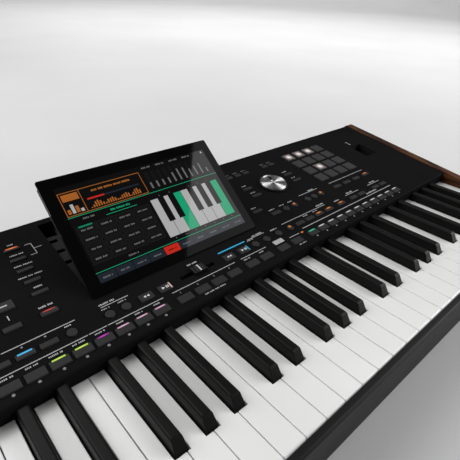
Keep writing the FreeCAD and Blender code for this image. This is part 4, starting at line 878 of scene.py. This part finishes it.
# The lit screen: a plain mixing page of meters, tiles, a row of piano keys and a bar of tabs
SCREEN = Sizes(left=12.5, right=10.3, low=9.6, high=12.2, radius=1.0)
FILM = 0.03
# Films of the screen: layer, dark tone and light tone
SCREEN_FILMS = {
    "base": (1, grey(0.0010), grey(0.0016)),
    "edges": (2, grey(0.012), grey(0.018)),
    "slate": (2, (0.009, 0.013, 0.020), (0.013, 0.018, 0.027)),
    "tiles": (3, grey(0.0030), grey(0.0045)),
    "green": (3, (0.004, 0.26, 0.12), (0.007, 0.38, 0.18)),
    "orange": (3, (0.26, 0.075, 0.012), (0.40, 0.13, 0.022)),
    "pale": (3, grey(0.34), grey(0.44)),
    "words": (4, grey(0.10), grey(0.16)),
    "red": (4, (0.42, 0.012, 0.006), (0.60, 0.022, 0.010)),
    "dark": (5, grey(0.0015), grey(0.0025)),
}
# The bar of tabs and the two green rules
TAB = Sizes(count=10, chosen=4, gap=0.3, low=0.4, high=9.0, radius=0.8, caption=10.0)
RULES = Sizes(low=10.6, high=70.1, width=0.6)
# The framed block of the player: a badge, a title, a progress bar and a wave
BLOCK = Sizes(wide=90.0, gap=1.6, drop=6.6, stroke=0.7, split=21.5, margin=2.0)
BADGE = Sizes(left=3.0, right=19.6, low=9.5)
BADGE_BARS = Sizes(shares=(0.45, 0.9, 0.65, 0.3), step=4.3, wide=3.2, tall=11.0)
TITLE = Caption(55.0, -5.0, 44.0, 2.2)
PROGRESS = Sizes(left=26.0, right=84.0, at=44.0, low=11.6, high=13.4)
WAVE = Sizes(count=22, step=2.6, wide=1.6, low=1.0, tall=6.0, turn=0.55, shares=(0.5, 1.0))
# Meters beside the block, and the captions and the lamp over them
METER = Sizes(count=11, left=5.0, step=7.6, wide=5.0, inset=1.5, margin=3.0, shares=(0.25, 0.8))
HEAD = Sizes(count=4, left=101.0, step=18.0, drop=3.0, caption=11.0, height=1.8, lamp_inset=4.0, lamp=1.2)
# The square of tiles with its green marks and captions
TILE = Sizes(count=4, left=11.9, low=13.0, wide=20.3, tall=10.4, gap=0.6, rim=0.35, edge_radius=0.9,
             radius=0.8, caption=12.0, height=1.7)
TILE_MARKS = (
    Sizes(start=5.0, end=19.0, drop=11.4, width=1.6),
    Sizes(start=36.0, end=70.5, drop=7.6, width=0.6),
)
TILE_NAME = Caption(53.0, -4.0, 22.0, 2.0)
UPPER_CAPTION = Caption(19.0, -4.0, 12.0, 1.7)
LOWER_CAPTION = Caption(42.0, 4.4, 12.0, 1.7)
# The row of piano keys, with a dot for each key
PIANO = Sizes(left=86.0, right=5.2, low=5.6, high=8.0)
WHITES = Sizes(count=7, lit=(2, 6), gap=0.25, dot_drop=2.4, dot=0.7)
BLACKS = Sizes(places=(1, 2, 4, 5, 6), half_share=0.29, low_share=0.36, dot_lift=2.6, dot=0.6)


class Screen:
    """The lit area of the glass and its films."""

    def __init__(self):
        self.draw = random.Random(SEED)
        places = [glass.local(vertex.co) for vertex in nodes["display_glass"].data.vertices]
        self.left, self.right = SCREEN.left, max(place[0] for place in places) - SCREEN.right
        self.low, self.high = SCREEN.low, max(place[1] for place in places) - SCREEN.high
        self.rule_low, self.rule_high = self.low + RULES.low, self.low + RULES.high
        self.block_low, self.block_high = self.rule_high + BLOCK.gap, self.high - BLOCK.drop
        self.block_right = self.left + BLOCK.wide
        self.films = Sizes()
        for kind, (layer, dark, light) in SCREEN_FILMS.items():
            name = "screen_" + kind
            high = layer * FILM
            material = screen_film(name, dark, light)
            setattr(self.films, kind, Inlay(name, "display", "screen", material, glass, high - FILM, high))

    def caption(self, film, item, v):
        film.words(self.left + item.u, v + item.lift, item.length, self.draw, item.height)

    def tabs(self):
        films = self.films
        films.base.rounded(self.left, self.low, self.right, self.high, SCREEN.radius)
        step = (self.right - self.left) / TAB.count
        low, high = self.low + TAB.low, self.low + TAB.high
        for i in range(TAB.count):
            u = self.left + step * i
            face, letters = (films.red, films.dark) if i == TAB.chosen else (films.slate, films.words)
            face.rounded(u + TAB.gap, low, u + step - TAB.gap, high, TAB.radius)
            letters.words(u + step / 2, (self.low + high) / 2, TAB.caption, self.draw)
        for v in (self.rule_low, self.rule_high):
            films.green.line(self.left, self.right, v, RULES.width)

    def player(self):
        left, low, high = self.left, self.block_low, self.block_high
        orange, base = self.films.orange, low + BLOCK.margin
        half = BLOCK.stroke / 2
        for v in (low, high):
            orange.line(left + BLOCK.stroke, self.block_right, v, BLOCK.stroke)
        for u in (left + BLOCK.stroke + half, left + BLOCK.split, self.block_right - half):
            orange.upright(u, low + half, high - half, BLOCK.stroke)
        orange.rect(left + BADGE.left, high - BADGE.low, left + BADGE.right, high - BLOCK.margin)
        for i, share in enumerate(BADGE_BARS.shares):
            u = left + BADGE.left + BADGE_BARS.step * i
            film = self.films.pale if i % 2 else orange
            film.rect(u, base, u + BADGE_BARS.wide, base + BADGE_BARS.tall * share)
        self.caption(orange, TITLE, high)
        start = left + PROGRESS.left
        for film, end in ((self.films.slate, PROGRESS.right), (self.films.red, PROGRESS.at)):
            film.rect(start, low + PROGRESS.low, left + end, low + PROGRESS.high)
        for i in range(WAVE.count):
            lift = WAVE.low + WAVE.tall * abs(math.sin(WAVE.turn * i)) * self.draw.uniform(*WAVE.shares)
            u = start + WAVE.step * i
            orange.rect(u, base, u + WAVE.wide, base + lift)

    def meters(self):
        words, low, high = self.films.words, self.block_low, self.block_high
        bottom, room = low + METER.margin, high - low - 2 * METER.margin
        for i in range(METER.count):
            u = self.block_right + METER.left + METER.step * i
            self.films.tiles.rect(u, low + BLOCK.margin, u + METER.wide, high - BLOCK.margin)
            top = bottom + room * self.draw.uniform(*METER.shares)
            words.rect(u + METER.inset, bottom, u + METER.wide - METER.inset, top)
        head_v = self.high - HEAD.drop
        for i in range(HEAD.count):
            words.words(self.left + HEAD.left + HEAD.step * i, head_v, HEAD.caption, self.draw, HEAD.height)
        self.films.pale.disc(self.right - HEAD.lamp_inset, head_v, HEAD.lamp)

    def tiles(self):
        half_u, half_v = TILE.wide / 2 - TILE.gap, TILE.tall / 2 - TILE.gap
        for i in range(TILE.count):
            for j in range(TILE.count):
                u, v = self.left + TILE.left + TILE.wide * i, self.rule_low + TILE.low + TILE.tall * j
                self.films.edges.field(u, v, half_u, half_v, TILE.edge_radius)
                self.films.tiles.field(u, v, half_u - TILE.rim, half_v - TILE.rim, TILE.radius)
                self.films.words.words(u, v, TILE.caption, self.draw, TILE.height)
        for mark in TILE_MARKS:
            start, end = self.left + mark.start, self.left + mark.end
            self.films.green.line(start, end, self.rule_high - mark.drop, mark.width)
        self.caption(self.films.green, TILE_NAME, self.rule_high)
        self.caption(self.films.words, UPPER_CAPTION, self.rule_high)
        self.caption(self.films.words, LOWER_CAPTION, self.rule_low)

    def piano(self):
        left, right = self.left + PIANO.left, self.right - PIANO.right
        low, high = self.rule_low + PIANO.low, self.rule_high - PIANO.high
        step = (right - left) / WHITES.count
        dots = self.films.words
        for i in range(WHITES.count):
            u = left + step * i
            film = self.films.green if i in WHITES.lit else self.films.pale
            film.rect(u + WHITES.gap, low, u + step - WHITES.gap, high)
            dots.disc(u + step / 2, low - WHITES.dot_drop, WHITES.dot, DOT_SIDES)
        half = BLACKS.half_share * step
        black_low = low + BLACKS.low_share * (high - low)
        for i in BLACKS.places:
            u = left + step * i
            self.films.dark.rect(u - half, black_low, u + half, high)
            dots.disc(u, high + BLACKS.dot_lift, BLACKS.dot, DOT_SIDES)


def light_screen():
    screen = Screen()
    screen.tabs()
    screen.player()
    screen.meters()
    screen.tiles()
    screen.piano()
    for kind in SCREEN_FILMS:
        getattr(screen.films, kind).build()


# Socket contacts and small parts at the back, measured from the outer ends of the sockets
PINS = 5
PIN_TURN = math.radians(45)
PIN = Sizes(circle=4.6 * MM, lift=1.2 * MM, radius=0.7 * MM, start=8.2 * MM, end=3.0 * MM)
SPRING = Sizes(out=2.9 * MM, half_x=0.8 * MM, half_z=0.3 * MM, start=15.0 * MM, end=9.0 * MM)
# The tongue of the port on the panel, from the middle of the port's front, and its depths from the top
TONGUE = Sizes(left=-4.8, right=4.8, low=0.2, high=0.75, radius=0.2)
TONGUE_START, TONGUE_END = 3.3, 1.1
# Screws of the rear panel: places as shares of its half width, then sizes
SCREW_SHARES = (-0.97, -0.5, 0.05, 0.5, 0.97)
SCREW = Sizes(inset=8.0 * MM, radius=2.9 * MM, top_radius=2.1 * MM, rim=0.5 * MM, top=1.2 * MM)
SCREW_BAR = Sizes(half_x=1.4 * MM, half_z=0.3 * MM, low=1.1 * MM, high=1.3 * MM)
ROD_SIDES = 16


def block(mesh, low, high):
    made = bmesh.ops.create_cube(mesh, size=1.0)
    middle = (Vector(low) + Vector(high)) / 2
    size = Vector(high) - Vector(low)
    for vertex in made["verts"]:
        vertex.co = middle + Vector(vertex.co[i] * size[i] for i in range(3))


def rod(mesh, start, end, radius, end_radius):
    axis = Vector(end) - Vector(start)
    made = bmesh.ops.create_cone(mesh, cap_ends=True, segments=ROD_SIDES, radius1=radius, radius2=end_radius,
                                 depth=axis.length)
    turn = axis.to_track_quat("Z", "Y").to_matrix().to_4x4()
    place = Matrix.Translation((Vector(start) + Vector(end)) / 2)
    bmesh.ops.transform(mesh, matrix=place @ turn, verts=made["verts"])


def add_contacts(finishes):
    contacts = bmesh.new()
    for low, high in solid_boxes("midi_sockets"):
        middle = (low + high) / 2
        for i in range(PINS):
            turn = PIN_TURN * (i - PINS // 2)
            x = middle.x + PIN.circle * math.sin(turn)
            z = middle.z - PIN.circle * math.cos(turn) + PIN.lift
            rod(contacts, (x, high.y - PIN.start, z), (x, high.y - PIN.end, z), PIN.radius, PIN.radius)
    for low, high in solid_boxes("jack_sockets"):
        middle = (low + high) / 2
        for way in (-1, 1):
            x, z = middle.x, middle.z + way * SPRING.out
            block(contacts, (x - SPRING.half_x, high.y - SPRING.start, z - SPRING.half_z),
                  (x + SPRING.half_x, high.y - SPRING.end, z + SPRING.half_z))
    make_piece("socket_contacts", contacts, "body", finishes["socket_metal"])


def add_port_tongue(finishes):
    port = max(spots("usb_ports"), key=lambda spot: spot.u)
    low, high = port.top - TONGUE_START, port.top - TONGUE_END
    insert = Inlay("usb_insert", "body", "socket_black", finishes["port_blue"], low=low, high=high)
    insert.plate(port.u, port.v - port.dv, TONGUE)
    insert.build()


def add_screws(finishes):
    screws = bmesh.new()
    low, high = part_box("rear_panel")
    rim_y, top_y = high.y + SCREW.rim, high.y + SCREW.top
    for share in SCREW_SHARES:
        x = share * (high.x - low.x) / 2
        for z in (low.z + SCREW.inset, high.z - SCREW.inset):
            rod(screws, (x, high.y, z), (x, rim_y, z), SCREW.radius, SCREW.radius)
            rod(screws, (x, rim_y, z), (x, top_y, z), SCREW.radius, SCREW.top_radius)
            block(screws, (x - SCREW_BAR.half_x, high.y + SCREW_BAR.low, z - SCREW_BAR.half_z),
                  (x + SCREW_BAR.half_x, high.y + SCREW_BAR.high, z + SCREW_BAR.half_z))
    make_piece("rear_screws", screws, "body", finishes["steel"])


# Camera, light and floor
# The veil is a box over the right end: the edge of its reflection crosses the screen
VEIL_PLACE = (1.319, -0.486, 1.35)
VEIL_AIM = (*VEIL_PLACE[:2], 0.0)
VEIL_TURN = -14.9
# Soft boxes: name, place, aim, size and power
SOFTBOXES = (
    ("main", (-0.5, 0.9, 1.6), (0.1, 0.0, 0.1), (1.8, 1.2), 24),
    ("back", (-1.5, 1.5, 1.0), (0.1, 0.0, 0.1), (1.8, 0.8), 16),
    ("side", (2.9, -1.7, 1.35), (0.2, 0.0, 0.1), (2.8, 1.9), 93),
    ("fill", (-1.5, -1.1, 1.3), (0.0, 0.0, 0.1), (1.2, 1.2), 4),
    ("veil", VEIL_PLACE, VEIL_AIM, (1.0, 1.5), 8, VEIL_TURN),
    ("floor_wash", (2.0, 2.2, 3.6), (5.4, 5.6, 0.2), (5.0, 4.0), 300),
)
WORLD_STRENGTH = 0.08
FLOOR = Sizes(inner=(0.5, 2.0), radius=6.0, bend=2.5, bend_steps=12, sides=64)


def add_camera():
    az, down, roll = (math.radians(a) for a in (CAMERA.azimuth, CAMERA.down, CAMERA.roll))
    ahead = Vector((math.sin(az) * math.cos(down), math.cos(az) * math.cos(down), -math.sin(down)))
    level = Vector((math.cos(az), -math.sin(az), 0))
    over = level.cross(ahead)
    right = math.cos(roll) * level + math.sin(roll) * over
    up = math.cos(roll) * over - math.sin(roll) * level
    data = bpy.data.cameras.new("camera")
    data.sensor_width = SENSOR_MM
    data.lens = SENSOR_MM * FOCAL_PIXELS / IMAGE_PIXELS
    data.clip_start = CAMERA.clip_start
    camera = link_object("camera", data)
    place = panel.origin + Vector(CAMERA.offset)
    camera.matrix_world = Matrix.Translation(place) @ Matrix((right, up, -ahead)).transposed().to_4x4()
    bpy.context.scene.camera = camera


def softbox(name, place, aim, size, watts, turn=0.0):
    data = bpy.data.lights.new(name, "AREA")
    data.shape = "RECTANGLE"
    data.size, data.size_y = size
    data.energy = watts
    light = link_object(name, data)
    light.location = place
    facing = (Vector(aim) - Vector(place)).to_track_quat("-Z", "Y").to_matrix()
    light.rotation_euler = (facing @ Matrix.Rotation(math.radians(turn), 3, "Z")).to_euler()


def add_lights():
    for values in SOFTBOXES:
        softbox(*values)
    world = bpy.data.worlds.new("studio")
    world.use_nodes = True
    set_inputs(world.node_tree.nodes["Background"], Color=(1, 1, 1, 1), Strength=WORLD_STRENGTH)
    bpy.context.scene.world = world
    bpy.context.scene.view_settings.view_transform = "Standard"


def add_floor(finishes):
    """A round floor that curves up into the backdrop."""
    profile = [(radius, 0.0) for radius in (*FLOOR.inner, FLOOR.radius)]
    for i in range(1, FLOOR.bend_steps + 1):
        turn = math.radians(90 * i / FLOOR.bend_steps)
        profile.append((FLOOR.radius + FLOOR.bend * math.sin(turn), FLOOR.bend * (1 - math.cos(turn))))
    mesh = bmesh.new()
    turns = [2 * math.pi * i / FLOOR.sides for i in range(FLOOR.sides)]
    rings = []
    for radius, z in profile:
        rings.append([mesh.verts.new((radius * math.cos(t), radius * math.sin(t), z)) for t in turns])
    mesh.faces.new(rings[0])
    for inner, outer in zip(rings, rings[1:]):
        for i in range(FLOOR.sides):
            j = (i + 1) % FLOOR.sides
            mesh.faces.new((inner[i], outer[i], outer[j], inner[j]))
    for face in mesh.faces:
        face.smooth = True
    floor = mesh_object("floor", mesh, finishes["floor"])


finishes = dress_cad()
print_panel()
light_buttons()
mark_fader()
light_screen()
add_contacts(finishes)
add_port_tongue(finishes)
add_screws(finishes)
add_camera()
add_lights()
add_floor(finishes)
